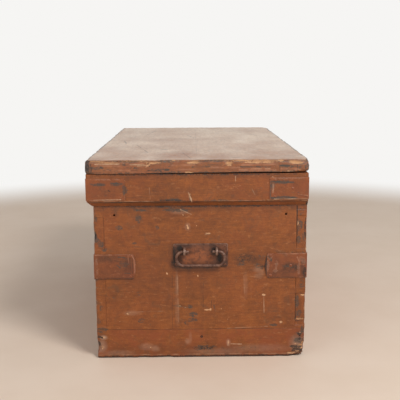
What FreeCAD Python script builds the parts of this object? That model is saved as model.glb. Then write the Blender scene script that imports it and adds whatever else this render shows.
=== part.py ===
"""Painted softwood travelling chest with a hinged flat lid, iron carrying handles and iron corner straps.

Millimetres, +Z up. +X runs along the chest, the lock is on the front at -Y and the hinges at the back.
The origin is on the floor, at the middle of everything the closed chest reaches to.
"""

import FreeCAD, Part
import math
import os

Vector = FreeCAD.Vector

# Carcass: boards of one thickness, a deep upper course dovetailed over a narrow lower course
BODY_LENGTH = 860.0
BODY_DEPTH = 468.0
BODY_HEIGHT = 422.0
BOARD = 22.0
LOWER_COURSE = 67.0
TAIL_COUNT = 4
PIN_WIDTH = 15.0
DOVETAIL_SLOPE_SHARE = 1 / 6

# Bottom: three long boards lying on three cross battens
BOTTOM_BOARD = 18.0
BOTTOM_RISE = 39.0
BOTTOM_BOARD_COUNT = 3
BATTEN_WIDTH = 42.0
BATTEN_HEIGHT = 24.0

# Band: a moulding round the rim at the front and both ends, bevelled below
BAND_THICKNESS = 12.0
BAND_HEIGHT = 71.0
BAND_BEVEL_HEIGHT = 11.0
BAND_FOOT = 1.5

# Lid: two long boards tongued into a cleat across each end
LID_THICKNESS = 29.1
LID_GAP = 1.4
LID_OVERHANG = 2.0
LID_BACK_OVERHANG = 2.0
LID_CORNER_RADIUS = 10.0
LID_EDGE_ROUND = 6.0
CLEAT_WIDTH = 68.0
TONGUE_THICKNESS = 9.0
TONGUE_DEPTH = 14.0

# Hinges: a pair of stopped butt hinges let into the lid and the back
HINGE_END_INSET = 175.0
HINGE_LENGTH = 76.0
LEAF_WIDTH = 19.0
LEAF_THICKNESS = 2.2
KNUCKLE_RADIUS = 4.6
KNUCKLE_COUNT = 5
KNUCKLE_GAP = 0.3
HINGE_PIN_RADIUS = 2.3
HINGE_PIN_CLEARANCE = 0.05
HINGE_PIN_HEAD_RADIUS = 3.4
HINGE_PIN_HEAD = 1.2
HEEL_THICKNESS = 3.0
LID_OPEN_ANGLE = 105.0
HINGE_SCREW_COUNT = 3

# Clearance between moving pieces, and the overrun of every cut
RUNNING_GAP = 0.3
OVERRUN = 4.0

# Handles: a plate with two eyes on each end, and a bail that swings in the eyes
HANDLE_CENTRE_HEIGHT = 239.0
HANDLE_PLATE_LENGTH = 121.0
HANDLE_PLATE_HEIGHT = 53.0
HANDLE_PLATE = 2.6
HANDLE_PLATE_CORNER = 4.0
EYE_SPACING = 71.0
EYE_THICKNESS = 5.0
EYE_RADIUS = 8.5
EYE_TANG = 6.0
EYE_TANG_DEPTH = 18.0
BAIL_RADIUS = 3.4
BAIL_CLEARANCE = 0.25
BAIL_STANDOFF = 9.5
BAIL_RISE = 10.5
BAIL_WIDTH = 113.0
BAIL_DROP = 31.5
BAIL_UPPER_BEND = 14.0
BAIL_LOWER_BEND = 16.0
BAIL_STUB = 7.0

# Corner straps round the four upright corners, half way up
STRAP_HEIGHT = 57.0
STRAP_THICKNESS = 2.2
STRAP_LEG = 91.0
STRAP_END_RISE = 6.0
STRAP_CENTRE_HEIGHT = 214.0

# Corner plates round the four corners of the band
CORNER_PLATE = 1.2
CORNER_PLATE_LEG = 84.0
CORNER_PLATE_HEIGHT = 48.0
CORNER_PLATE_DROP = 9.0

# Lock: a chest lock let into the front board, its keeper under the lid and a keyhole plate on the band
LOCK_LENGTH = 84.0
LOCK_HEIGHT = 50.0
LOCK_DEPTH = 14.0
LOCK_WALL = 2.0
LOCK_FLANGE = 11.0
BOLT_LENGTH = 44.0
BOLT_HEIGHT = 10.0
BOLT_DROP = 12.0
BOLT_NOSE = 3.5
BOLT_NOSE_LENGTH = 14.0
BOLT_THROW = 12.0
BOLT_GUIDE = 6.0
KEEPER_LENGTH = 46.0
KEEPER_WIDTH = 15.0
KEEPER_PLATE = 2.0
HOOK_THICKNESS = 4.0
HOOK_WIDTH = 7.0
HOOK_CLEARANCE = 0.8
HOOK_TOE = 3.0
HOOK_SLOT_CLEARANCE = 1.3
KEYHOLE_WIDTH = 6.4
KEYHOLE_HEIGHT = 17.0
KEYHOLE_DROP = 33.0
KEYHOLE_PLATE_WIDTH = 26.0
KEYHOLE_PLATE_HEIGHT = 40.0
KEYHOLE_PLATE = 1.4

# Nails and tacks are wrought, square with a low faceted head; brads have no head; screws are countersunk
NAIL_SHANK = 3.0
NAIL_HEAD = 6.0
NAIL_HEAD_RISE = 0.9
NAIL_LENGTH = 20.0
TACK_SHANK = 2.2
TACK_HEAD = 5.0
TACK_HEAD_RISE = 0.7
TACK_LENGTH = 14.0
NAIL_CROWN_SHARE = 0.45
BAND_BRAD = 3.0
BAND_BRAD_LENGTH = 30.0
BAND_BRAD_SPACING = 130.0
BOTTOM_BRAD = 3.6
BOTTOM_BRAD_LENGTH = 52.0
BOTTOM_BRAD_SET = 2.0
EMPTY_HOLE = 4.2
EMPTY_HOLE_DEPTH = 9.0
EMPTY_HOLE_SPAN = 376.0
EMPTY_HOLE_DROP = 92.0
SCREW_RADIUS = 2.0
SCREW_HEAD_RADIUS = 3.6
SCREW_HEAD_DEPTH = 1.7
SCREW_LENGTH = 17.0
SCREW_CLEARANCE = 0.1

# Reaches of the closed chest in front of and behind the carcass, which centre it on the origin
HINGE_AXIS_OUT = KNUCKLE_RADIUS + RUNNING_GAP
STOP = math.radians(LID_OPEN_ANGLE)
HEEL_REACH = (HINGE_AXIS_OUT - RUNNING_GAP / 2 - math.sin(STOP) * HEEL_THICKNESS / 2) / -math.cos(STOP)
FRONT_REACH = BAND_THICKNESS + max(LID_OVERHANG, CORNER_PLATE + TACK_HEAD_RISE, KEYHOLE_PLATE + TACK_HEAD_RISE)
HINGE_REACH = HINGE_AXIS_OUT + max(HEEL_REACH, KNUCKLE_RADIUS)
BACK_REACH = max(HINGE_REACH, LID_BACK_OVERHANG, STRAP_THICKNESS + NAIL_HEAD_RISE)

# Planes that the pieces share
END_X = BODY_LENGTH / 2
INNER_END_X = END_X - BOARD
BAND_X = END_X + BAND_THICKNESS
MIDDLE_Y = (FRONT_REACH - BACK_REACH) / 2
FRONT_Y = MIDDLE_Y - BODY_DEPTH / 2
BACK_Y = MIDDLE_Y + BODY_DEPTH / 2
INNER_FRONT_Y = FRONT_Y + BOARD
INNER_BACK_Y = BACK_Y - BOARD
BAND_Y = FRONT_Y - BAND_THICKNESS
RIM_Z = BODY_HEIGHT
LID_Z = RIM_Z + LID_GAP
LID_TOP_Z = LID_Z + LID_THICKNESS
BOTTOM_TOP_Z = BOTTOM_RISE + BOTTOM_BOARD
HINGE_Y = BACK_Y + HINGE_AXIS_OUT
HINGE_Z = RIM_Z + LID_GAP / 2
SIDES = (("right", 1), ("left", -1))


def box(x0, x1, y0, y1, z0, z1):
    """Box between two corners, given in any order."""
    low = Vector(min(x0, x1), min(y0, y1), min(z0, z1))
    return Part.makeBox(abs(x1 - x0), abs(y1 - y0), abs(z1 - z0), low)


def prism(points, along):
    """Straight prism of a closed outline."""
    return Part.Face(Part.makePolygon([*points, points[0]])).extrude(along)


def rod(centre, along, radius):
    """Round rod from centre, as long as the vector along."""
    return Part.makeCylinder(radius, along.Length, centre, along)


def fused(pieces):
    """One solid from pieces that overlap or touch."""
    first, *rest = pieces
    return first.fuse(rest).removeSplitter() if rest else first


def save(node, *solids):
    """Writes one node, as one solid or as a group of separate solids."""
    found = [solid for shape in solids for solid in shape.Solids]
    shape = found[0] if len(found) == 1 else Part.Compound(found)
    shape.exportStep(f"parts/{node}.step")


# Fasteners


def driven(shape, head_at, out):
    """Places a fastener drawn with its head's seat at the origin and its shank down -Z."""
    placed = shape.copy()
    placed.Placement = FreeCAD.Placement(head_at, FreeCAD.Rotation(Vector(0, 0, 1), out))
    return placed


def square(side, z):
    """Square outline of a nail at one height."""
    half = side / 2
    corners = [Vector(x, y, z) for x, y in ((-half, -half), (half, -half), (half, half), (-half, half))]
    return Part.makePolygon([*corners, corners[0]])


def nail_form(shank, length, head, rise):
    """Wrought nail: a square shank under a low faceted head."""
    crown = Part.makeLoft([square(head, 0), square(head * NAIL_CROWN_SHARE, rise)], True, True)
    return fused([Part.makeBox(shank, shank, length, Vector(-shank / 2, -shank / 2, -length)), crown])


def nail(head_at, out):
    return driven(nail_form(NAIL_SHANK, NAIL_LENGTH, NAIL_HEAD, NAIL_HEAD_RISE), head_at, out)


def tack(head_at, out):
    return driven(nail_form(TACK_SHANK, TACK_LENGTH, TACK_HEAD, TACK_HEAD_RISE), head_at, out)


def brad(head_at, out, side, length, start=0):
    """Headless square brad, or the hole for it, from its top down to its point."""
    half = side / 2
    return driven(box(-half, half, -half, half, -length, start), head_at, out)


def screw_form(radius, head_radius, head_depth, length):
    """Countersunk screw with its flat head at the origin."""
    shank = rod(Vector(0, 0, -head_depth), Vector(0, 0, head_depth - length), radius)
    head = Part.makeCone(radius, head_radius, head_depth, Vector(0, 0, -head_depth), Vector(0, 0, 1))
    return fused([shank, head])


def screw(head_at, out):
    form = screw_form(SCREW_RADIUS, SCREW_HEAD_RADIUS, SCREW_HEAD_DEPTH, SCREW_LENGTH)
    return driven(form, head_at, out)


def screw_hole(head_at, out):
    """The hole that a screw sits in, wider all round by the clearance."""
    radius = SCREW_RADIUS + SCREW_CLEARANCE
    head = SCREW_HEAD_RADIUS + SCREW_CLEARANCE
    form = screw_form(radius, head, SCREW_HEAD_DEPTH + SCREW_CLEARANCE, SCREW_LENGTH + SCREW_CLEARANCE)
    return driven(form, head_at, out)


# Carcass boards


def dovetail_pins(x_sign, y0, y1):
    """Pins at one upright corner, narrow at the end face and wide inside, through the tail board."""
    pitch = (RIM_Z - LOWER_COURSE) / TAIL_COUNT
    half = PIN_WIDTH / 2
    flare = half + BOARD * DOVETAIL_SLOPE_SHARE
    course = box(-BODY_LENGTH, BODY_LENGTH, FRONT_Y, BACK_Y, LOWER_COURSE, RIM_Z)
    pins = []
    for step in range(TAIL_COUNT + 1):
        z = LOWER_COURSE + step * pitch
        outline = [
            Vector(x_sign * END_X, y0, z - half),
            Vector(x_sign * END_X, y0, z + half),
            Vector(x_sign * INNER_END_X, y0, z + flare),
            Vector(x_sign * INNER_END_X, y0, z - flare),
        ]
        pins.append(prism(outline, Vector(0, y1 - y0, 0)).common(course))
    return pins


def long_upper_board(y0, y1):
    """Front or back upper board, with dovetail sockets at both ends."""
    board = box(-END_X, END_X, y0, y1, LOWER_COURSE, RIM_Z)
    return board.cut([pin for sign in (1, -1) for pin in dovetail_pins(sign, y0, y1)])


def end_upper_board(sign):
    """End upper board between the long boards, with its dovetail pins."""
    panel = box(sign * INNER_END_X, sign * END_X, INNER_FRONT_Y, INNER_BACK_Y, LOWER_COURSE, RIM_Z)
    front = dovetail_pins(sign, FRONT_Y, INNER_FRONT_Y)
    back = dovetail_pins(sign, INNER_BACK_Y, BACK_Y)
    return fused([panel, *front, *back])


def empty_nail_holes(sign):
    """Two old nail holes near the top of an end, with nothing left in them."""
    z = RIM_Z - EMPTY_HOLE_DROP
    half = EMPTY_HOLE / 2
    inner_x = sign * (END_X - EMPTY_HOLE_DEPTH)
    outer_x = sign * (END_X + OVERRUN)
    return [
        box(inner_x, outer_x, y - half, y + half, z - half, z + half)
        for y in (MIDDLE_Y - EMPTY_HOLE_SPAN / 2, MIDDLE_Y + EMPTY_HOLE_SPAN / 2)
    ]


def bottom_board(index):
    """One of the long bottom boards, counted from the front."""
    width = (INNER_BACK_Y - INNER_FRONT_Y) / BOTTOM_BOARD_COUNT
    y0 = INNER_FRONT_Y + index * width
    return box(-INNER_END_X, INNER_END_X, y0, y0 + width, BOTTOM_RISE, BOTTOM_TOP_Z)


def batten(x_middle):
    """Cross batten under the bottom boards."""
    half = BATTEN_WIDTH / 2
    z0 = BOTTOM_RISE - BATTEN_HEIGHT
    return box(x_middle - half, x_middle + half, INNER_FRONT_Y, INNER_BACK_Y, z0, BOTTOM_RISE)


def bottom_brads(start):
    """Brads through the lower course: at the corners and into the bottom boards."""
    z = BOTTOM_RISE + BOTTOM_BOARD / 2
    corner = BOARD / 2
    places = []
    for _, sign in SIDES:
        for y in (FRONT_Y + corner, MIDDLE_Y, BACK_Y - corner):
            places.append((Vector(sign * END_X, y, z), Vector(sign, 0, 0)))
        for x in (sign * BODY_LENGTH / 6, sign * BODY_LENGTH / 3):
            places.append((Vector(x, FRONT_Y, z), Vector(0, -1, 0)))
            places.append((Vector(x, BACK_Y, z), Vector(0, 1, 0)))
    return [brad(*place, BOTTOM_BRAD, BOTTOM_BRAD_LENGTH, start) for place in places]


# Band


def band_section():
    """Outline of the band as (out from the carcass, height)."""
    low = RIM_Z - BAND_HEIGHT
    return [
        (0, RIM_Z),
        (BAND_THICKNESS, RIM_Z),
        (BAND_THICKNESS, low + BAND_BEVEL_HEIGHT),
        (BAND_FOOT, low),
        (0, low),
    ]


def band_front():
    """Front length of the band, mitred at both corners."""
    rows = band_section()
    ends = [
        Part.makePolygon([Vector(sign * (END_X + out), FRONT_Y - out, z) for out, z in [*rows, rows[0]]])
        for sign in (-1, 1)
    ]
    return Part.makeLoft(ends, True, True)


def band_end(sign):
    """End length of the band, mitred at the front and square at the back."""
    rows = band_section()
    rows = [*rows, rows[0]]
    front = Part.makePolygon([Vector(sign * (END_X + out), FRONT_Y - out, z) for out, z in rows])
    back = Part.makePolygon([Vector(sign * (END_X + out), BACK_Y, z) for out, z in rows])
    return Part.makeLoft([front, back], True, True)


def spaced(low, high, spacing):
    """Evenly spaced places between two limits, about one spacing apart and half a step in from each."""
    count = max(2, round((high - low) / spacing))
    step = (high - low) / count
    return [low + (index + 1 / 2) * step for index in range(count)]


def band_brads():
    """Brads along the middle of the band, flush with its face."""
    z = RIM_Z - (BAND_HEIGHT - BAND_BEVEL_HEIGHT) / 2
    keep_off = CORNER_PLATE_LEG
    places = []
    for x in spaced(-BAND_X + keep_off, BAND_X - keep_off, BAND_BRAD_SPACING):
        places.append((Vector(x, BAND_Y, z), Vector(0, -1, 0)))
    for _, sign in SIDES:
        for y in spaced(BAND_Y + keep_off, BACK_Y - keep_off, BAND_BRAD_SPACING):
            places.append((Vector(sign * BAND_X, y, z), Vector(sign, 0, 0)))
    return [brad(*place, BAND_BRAD, BAND_BRAD_LENGTH) for place in places]


# Lid


def lid_block():
    """Whole lid before it is divided: round corners, and a rounded upper edge."""
    half = BAND_X + LID_OVERHANG
    block = box(-half, half, BAND_Y - LID_OVERHANG, BACK_Y + LID_BACK_OVERHANG, LID_Z, LID_TOP_Z)
    upright = [edge for edge in block.Edges if edge.BoundBox.ZLength > LID_THICKNESS / 2]
    block = block.makeFillet(LID_CORNER_RADIUS, upright)
    upper = [edge for edge in block.Edges if edge.BoundBox.ZMin > LID_TOP_Z - LID_EDGE_ROUND]
    return block.makeFillet(LID_EDGE_ROUND, upper)


def lid_pieces():
    """Front and back boards with a tongue at each end, and the two grooved cleats."""
    block = lid_block()
    half = BAND_X + LID_OVERHANG
    shoulder = half - CLEAT_WIDTH
    front, back = BAND_Y - LID_OVERHANG, BACK_Y + LID_BACK_OVERHANG
    seam = (front + back) / 2
    tongue_z = LID_Z + (LID_THICKNESS - TONGUE_THICKNESS) / 2
    reach = shoulder + TONGUE_DEPTH
    pieces = {}
    for node, y0, y1 in (("lid_front_board", front, seam), ("lid_back_board", seam, back)):
        field = box(-shoulder, shoulder, y0, y1, LID_Z, LID_TOP_Z)
        tongue = box(-reach, reach, y0, y1, tongue_z, tongue_z + TONGUE_THICKNESS)
        pieces[node] = block.common(fused([field, tongue]))
    groove = box(-reach, reach, front, back, tongue_z, tongue_z + TONGUE_THICKNESS)
    for side, sign in SIDES:
        span = box(sign * shoulder, sign * half, front, back, LID_Z, LID_TOP_Z)
        pieces[f"lid_{side}_cleat"] = block.common(span).cut(groove)
    return pieces


# Hinges


def knuckles(x_middle, odd):
    """Stretches of barrel that belong to one leaf, as (start, end) along X."""
    pitch = HINGE_LENGTH / KNUCKLE_COUNT
    start = x_middle - HINGE_LENGTH / 2
    spans = [(start + index * pitch, start + (index + 1) * pitch) for index in range(KNUCKLE_COUNT)]
    return [span for index, span in enumerate(spans) if index % 2 == odd]


def hinge_leaf(x_middle, odd, z0, z1, heel):
    """One leaf: a plate let into the wood, its share of the barrel, and the stop heel if it has one."""
    half = HINGE_LENGTH / 2
    plate = box(x_middle - half, x_middle + half, BACK_Y - LEAF_WIDTH, BACK_Y, z0, z1)
    pieces = [plate]
    for start, end in knuckles(x_middle, odd):
        x0, x1 = start + KNUCKLE_GAP / 2, end - KNUCKLE_GAP / 2
        barrel = rod(Vector(x0, HINGE_Y, HINGE_Z), Vector(x1 - x0, 0, 0), KNUCKLE_RADIUS)
        pieces += [barrel, box(x0, x1, BACK_Y, HINGE_Y, z0, z1)]
        if heel:
            low = HINGE_Z - HEEL_THICKNESS / 2
            pieces.append(box(x0, x1, HINGE_Y, HINGE_Y + HEEL_REACH, low, low + HEEL_THICKNESS))
    bore = rod(
        Vector(x_middle - HINGE_LENGTH, HINGE_Y, HINGE_Z),
        Vector(HINGE_LENGTH * 2, 0, 0),
        HINGE_PIN_RADIUS + HINGE_PIN_CLEARANCE,
    )
    return fused(pieces).cut(bore)


def hinge_pin(x_middle):
    """Loose pin through the barrel, headed at both ends."""
    half = HINGE_LENGTH / 2
    span = Vector(HINGE_LENGTH, 0, 0)
    pin = rod(Vector(x_middle - half, HINGE_Y, HINGE_Z), span, HINGE_PIN_RADIUS)
    heads = [
        rod(Vector(x_middle + sign * half, HINGE_Y, HINGE_Z), Vector(sign * HINGE_PIN_HEAD, 0, 0), HINGE_PIN_HEAD_RADIUS)
        for _, sign in SIDES
    ]
    return fused([pin, *heads])


def hinge_recess(x_middle, z0, z1):
    """Housing in the wood for one leaf's plate."""
    half = HINGE_LENGTH / 2
    return box(x_middle - half, x_middle + half, BACK_Y - LEAF_WIDTH, BACK_Y + OVERRUN, z0, z1)


def knuckle_space(x_middle):
    """Housing in the lid's overhang for the barrel and the heads of its pin."""
    half = HINGE_LENGTH / 2 + HINGE_PIN_HEAD + RUNNING_GAP
    top = HINGE_Z + KNUCKLE_RADIUS + RUNNING_GAP
    reach = LID_BACK_OVERHANG + OVERRUN
    return box(x_middle - half, x_middle + half, BACK_Y, BACK_Y + reach, LID_Z - OVERRUN, top)


def hinge_screw_places(x_middle):
    pitch = HINGE_LENGTH / HINGE_SCREW_COUNT
    start = x_middle - (HINGE_LENGTH - pitch) / 2
    return [(start + index * pitch, BACK_Y - LEAF_WIDTH / 2) for index in range(HINGE_SCREW_COUNT)]


# Handles


def handle_pivot():
    """Pivot of the right bail as (x, z)."""
    return END_X + HANDLE_PLATE + BAIL_STANDOFF, HANDLE_CENTRE_HEIGHT + BAIL_RISE


def mirrored(shape, sign):
    """A piece of the right end, or its mirror image for the left end."""
    return shape if sign > 0 else shape.mirror(Vector(0, 0, 0), Vector(1, 0, 0))


def handle_plate():
    """Back plate of the right handle, with clipped corners rounded off."""
    half, tall = HANDLE_PLATE_LENGTH / 2, HANDLE_PLATE_HEIGHT / 2
    z = HANDLE_CENTRE_HEIGHT
    plate = box(END_X, END_X + HANDLE_PLATE, MIDDLE_Y - half, MIDDLE_Y + half, z - tall, z + tall)
    corners = [edge for edge in plate.Edges if edge.BoundBox.XLength > HANDLE_PLATE / 2]
    return plate.makeFillet(HANDLE_PLATE_CORNER, corners)


def handle_eye(y_middle):
    """Forged eye on the plate, with a square tang into the end board."""
    x, z = handle_pivot()
    y0 = y_middle - EYE_THICKNESS / 2
    face = END_X + HANDLE_PLATE
    thick = Vector(0, EYE_THICKNESS, 0)
    ring = rod(Vector(x, y0, z), thick, EYE_RADIUS)
    root = box(face, x, y0, y0 + EYE_THICKNESS, z - EYE_RADIUS, z + EYE_RADIUS)
    half = EYE_TANG / 2
    wide = min(EYE_TANG, EYE_THICKNESS) / 2
    tang = box(END_X - EYE_TANG_DEPTH, face, y_middle - wide, y_middle + wide, z - half, z + half)
    hole = rod(Vector(x, y0 - OVERRUN, z), Vector(0, EYE_THICKNESS + OVERRUN * 2, 0), BAIL_RADIUS + BAIL_CLEARANCE)
    return fused([ring, root, tang]).cut(hole)


def bail():
    """Bail of the right handle hanging down: one round bar from eye to eye."""
    x, z = handle_pivot()
    reach = BAIL_WIDTH / 2 - BAIL_RADIUS
    low = z - BAIL_DROP
    inner = EYE_SPACING / 2 - EYE_THICKNESS / 2 - BAIL_STUB
    corner = math.sqrt(1 / 2)

    def at(y, height):
        return Vector(x, MIDDLE_Y + y, height)

    def half_path(side):
        """From the stub in the eye to the middle of the grip."""
        bend_y = reach - BAIL_UPPER_BEND
        turn_y = reach - BAIL_LOWER_BEND
        upper = Part.Arc(
            at(side * bend_y, z),
            at(side * (bend_y + BAIL_UPPER_BEND * corner), z - BAIL_UPPER_BEND * (1 - corner)),
            at(side * reach, z - BAIL_UPPER_BEND),
        )
        lower = Part.Arc(
            at(side * reach, low + BAIL_LOWER_BEND),
            at(side * (turn_y + BAIL_LOWER_BEND * corner), low + BAIL_LOWER_BEND * (1 - corner)),
            at(side * turn_y, low),
        )
        return [
            Part.LineSegment(at(side * inner, z), at(side * bend_y, z)),
            upper,
            Part.LineSegment(at(side * reach, z - BAIL_UPPER_BEND), at(side * reach, low + BAIL_LOWER_BEND)),
            lower,
            Part.LineSegment(at(side * turn_y, low), at(0, low)),
        ]

    halves = []
    for side in (-1, 1):
        path = Part.Wire([piece.toShape() for piece in half_path(side)])
        ring = Part.Wire(Part.makeCircle(BAIL_RADIUS, at(side * inner, z), Vector(0, side, 0)))
        halves.append(path.makePipeShell([ring], True, False))
    return fused(halves)


def handle_nails():
    """Tacks at the four corners of the right handle's plate."""
    inset = NAIL_HEAD
    half, tall = HANDLE_PLATE_LENGTH / 2 - inset, HANDLE_PLATE_HEIGHT / 2 - inset
    return [
        tack(Vector(END_X + HANDLE_PLATE, MIDDLE_Y + y, HANDLE_CENTRE_HEIGHT + z), Vector(1, 0, 0))
        for y in (-half, half)
        for z in (-tall, tall)
    ]


# Iron round the corners


def round_ended_leg(corner, along, out, length, height, thickness, rise):
    """Flat leg that starts at an upright corner and ends in a shallow arc, or square if it has no rise."""
    up = Vector(0, 0, height / 2)
    straight = corner + along * (length - rise)
    tip = corner + along * length
    edges = [
        Part.LineSegment(corner - up, straight - up),
        Part.Arc(straight - up, tip, straight + up) if rise else Part.LineSegment(straight - up, straight + up),
        Part.LineSegment(straight + up, corner + up),
        Part.LineSegment(corner + up, corner - up),
    ]
    face = Part.Face(Part.Wire([edge.toShape() for edge in edges]))
    return face.extrude(out * thickness)


def corner_iron(corner, x_sign, y_sign, leg, height, thickness, rise):
    """Iron bent round an upright corner of the wood, with its two legs along X and Y."""
    along_x = round_ended_leg(corner, Vector(-x_sign, 0, 0), Vector(0, y_sign, 0), leg, height, thickness, rise)
    along_y = round_ended_leg(corner, Vector(0, -y_sign, 0), Vector(x_sign, 0, 0), leg, height, thickness, rise)
    low = corner.z - height / 2
    knee = box(
        corner.x, corner.x + x_sign * thickness, corner.y, corner.y + y_sign * thickness, low, low + height
    )
    iron = fused([along_x, along_y, knee])
    outer_x, outer_y = corner.x + x_sign * thickness, corner.y + y_sign * thickness
    outer = [
        edge
        for edge in iron.Edges
        if edge.BoundBox.ZLength > height / 2
        and abs(edge.CenterOfMass.x - outer_x) < thickness / 2
        and abs(edge.CenterOfMass.y - outer_y) < thickness / 2
    ]
    return iron.makeFillet(thickness / 2, outer)


def corner_iron_nails(corner, x_sign, y_sign, leg, height, thickness, drive):
    """Two nails near the tip and one near the corner of each leg."""
    inset = NAIL_HEAD * 2
    places = [
        (leg - inset, height / 2 - NAIL_HEAD),
        (leg - inset, NAIL_HEAD - height / 2),
        (BOARD + inset, 0),
    ]
    nails = []
    for along, rise in places:
        on_x = Vector(corner.x - x_sign * along, corner.y + y_sign * thickness, corner.z + rise)
        on_y = Vector(corner.x + x_sign * thickness, corner.y - y_sign * along, corner.z + rise)
        nails.append(drive(on_x, Vector(0, y_sign, 0)))
        nails.append(drive(on_y, Vector(x_sign, 0, 0)))
    return nails


# Lock


LOCK_BACK_Y = INNER_FRONT_Y - LOCK_DEPTH
LOCK_CAVITY_Y = LOCK_BACK_Y + LOCK_WALL
LOCK_COVER_Y = INNER_FRONT_Y - LOCK_WALL
LOCK_LOW_Z = RIM_Z - LOCK_HEIGHT
BOLT_Y = (LOCK_CAVITY_Y + LOCK_COVER_Y) / 2
BOLT_TOP_Z = RIM_Z - BOLT_DROP
BOLT_LOW_Z = BOLT_TOP_Z - BOLT_HEIGHT
BOLT_NOSE_X = BOLT_LENGTH / 4
HOOK_X = BOLT_NOSE_X + HOOK_CLEARANCE
KEYHOLE_Z = RIM_Z - KEYHOLE_DROP


def lock_case_space():
    """Space that the case fills in the front board."""
    half = LOCK_LENGTH / 2
    return box(-half, half, LOCK_BACK_Y, LOCK_COVER_Y, LOCK_LOW_Z, RIM_Z)


def lock_cover_space():
    """Cover plate, wider than the case by a flange at each end."""
    half = LOCK_LENGTH / 2 + LOCK_FLANGE
    return box(-half, half, LOCK_COVER_Y, INNER_FRONT_Y, LOCK_LOW_Z, RIM_Z)


def hook_slot():
    """Slot in the top of the lock that the keeper's hook drops through."""
    half = HOOK_WIDTH / 2 + HOOK_SLOT_CLEARANCE
    x0, x1 = HOOK_X - HOOK_CLEARANCE, HOOK_X + HOOK_THICKNESS + HOOK_CLEARANCE
    return box(x0, x1, BOLT_Y - half, BOLT_Y + half, RIM_Z - LOCK_WALL - OVERRUN, RIM_Z + OVERRUN)


def keyhole():
    """Round-ended slot for the key, from the keyhole plate into the lock."""
    half = KEYHOLE_WIDTH / 2
    straight = KEYHOLE_HEIGHT / 2 - half
    y0 = BAND_Y - KEYHOLE_PLATE - OVERRUN
    depth = Vector(0, LOCK_CAVITY_Y + RUNNING_GAP - y0, 0)
    ends = [rod(Vector(0, y0, KEYHOLE_Z + z), depth, half) for z in (-straight, straight)]
    slot = box(-half, half, y0, y0 + depth.y, KEYHOLE_Z - straight, KEYHOLE_Z + straight)
    return fused([slot, *ends])


def lock_case():
    """Open iron box with two guides that carry the bolt."""
    inner = LOCK_LENGTH / 2 - LOCK_WALL
    floor = LOCK_LOW_Z + LOCK_WALL
    hollow = box(-inner, inner, LOCK_CAVITY_Y, LOCK_COVER_Y, floor, RIM_Z - LOCK_WALL)
    guide_top = BOLT_LOW_Z - RUNNING_GAP
    guides = [
        box(x, x + BOLT_GUIDE, LOCK_CAVITY_Y, LOCK_COVER_Y, floor, guide_top)
        for x in (BOLT_NOSE_X - BOLT_LENGTH + BOLT_THROW, BOLT_NOSE_X - BOLT_GUIDE)
    ]
    return fused([lock_case_space().cut(hollow), *guides]).cut([hook_slot(), keyhole()])


def lock_bolt():
    """Sliding bolt, drawn back, with a thin nose that enters the keeper."""
    shoulder = BOLT_NOSE_X - BOLT_NOSE_LENGTH
    y0, y1 = LOCK_CAVITY_Y + RUNNING_GAP, LOCK_COVER_Y - RUNNING_GAP
    body = box(BOLT_NOSE_X - BOLT_LENGTH, shoulder, y0, y1, BOLT_LOW_Z, BOLT_TOP_Z)
    half = BOLT_NOSE / 2
    nose = box(shoulder, BOLT_NOSE_X, BOLT_Y - half, BOLT_Y + half, BOLT_LOW_Z, BOLT_TOP_Z)
    return fused([body, nose])


def keeper_plate_space():
    """Keeper's plate, let into the underside of the lid."""
    middle = HOOK_X + HOOK_THICKNESS / 2
    half, wide = KEEPER_LENGTH / 2, KEEPER_WIDTH / 2
    return box(middle - half, middle + half, BOLT_Y - wide, BOLT_Y + wide, LID_Z, LID_Z + KEEPER_PLATE)


def keeper():
    """Plate with a hook that hangs into the lock, pierced for the bolt's nose."""
    half = HOOK_WIDTH / 2
    x0, x1 = HOOK_X, HOOK_X + HOOK_THICKNESS
    eye_low = BOLT_LOW_Z - HOOK_CLEARANCE
    hook = box(x0, x1, BOLT_Y - half, BOLT_Y + half, eye_low - HOOK_TOE, LID_Z)
    eye_half = BOLT_NOSE / 2 + HOOK_CLEARANCE
    eye = box(
        x0 - OVERRUN, x1 + OVERRUN, BOLT_Y - eye_half, BOLT_Y + eye_half, eye_low, BOLT_TOP_Z + HOOK_CLEARANCE
    )
    return fused([keeper_plate_space(), hook.cut(eye)])


def keyhole_plate():
    """Oval plate on the face of the band, round the keyhole."""
    wide, tall = KEYHOLE_PLATE_WIDTH / 2, KEYHOLE_PLATE_HEIGHT / 2
    oval = Part.Ellipse(
        Vector(0, BAND_Y, KEYHOLE_Z + tall), Vector(wide, BAND_Y, KEYHOLE_Z), Vector(0, BAND_Y, KEYHOLE_Z)
    )
    face = Part.Face(Part.Wire(oval.toShape()))
    return face.extrude(Vector(0, -KEYHOLE_PLATE, 0)).cut(keyhole())


def lock_screw_places():
    x = LOCK_LENGTH / 2 + LOCK_FLANGE / 2
    inset = LOCK_FLANGE / 2
    return [Vector(sx * x, INNER_FRONT_Y, z) for sx in (-1, 1) for z in (LOCK_LOW_Z + inset, RIM_Z - inset)]


def keeper_screw_places():
    middle = HOOK_X + HOOK_THICKNESS / 2
    x = KEEPER_LENGTH / 2 - SCREW_HEAD_RADIUS * 2
    return [Vector(middle + sign * x, BOLT_Y, LID_Z) for sign in (-1, 1)]


def keyhole_tacks():
    z = (KEYHOLE_PLATE_HEIGHT + KEYHOLE_HEIGHT) / 4
    return [tack(Vector(0, BAND_Y - KEYHOLE_PLATE, KEYHOLE_Z + sign * z), Vector(0, -1, 0)) for sign in (-1, 1)]


# Assembly: the fasteners come first, because each piece is cut by those that pass through it

os.makedirs("parts", exist_ok=True)

HINGE_XS = {side: sign * (END_X - HINGE_END_INSET) for side, sign in SIDES}
CORNERS = {
    f"{depth}_{side}": (sign, y_sign)
    for depth, y_sign in (("front", -1), ("back", 1))
    for side, sign in SIDES
}


def strap_corner(x_sign, y_sign):
    return Vector(x_sign * END_X, FRONT_Y if y_sign < 0 else BACK_Y, STRAP_CENTRE_HEIGHT)


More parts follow.
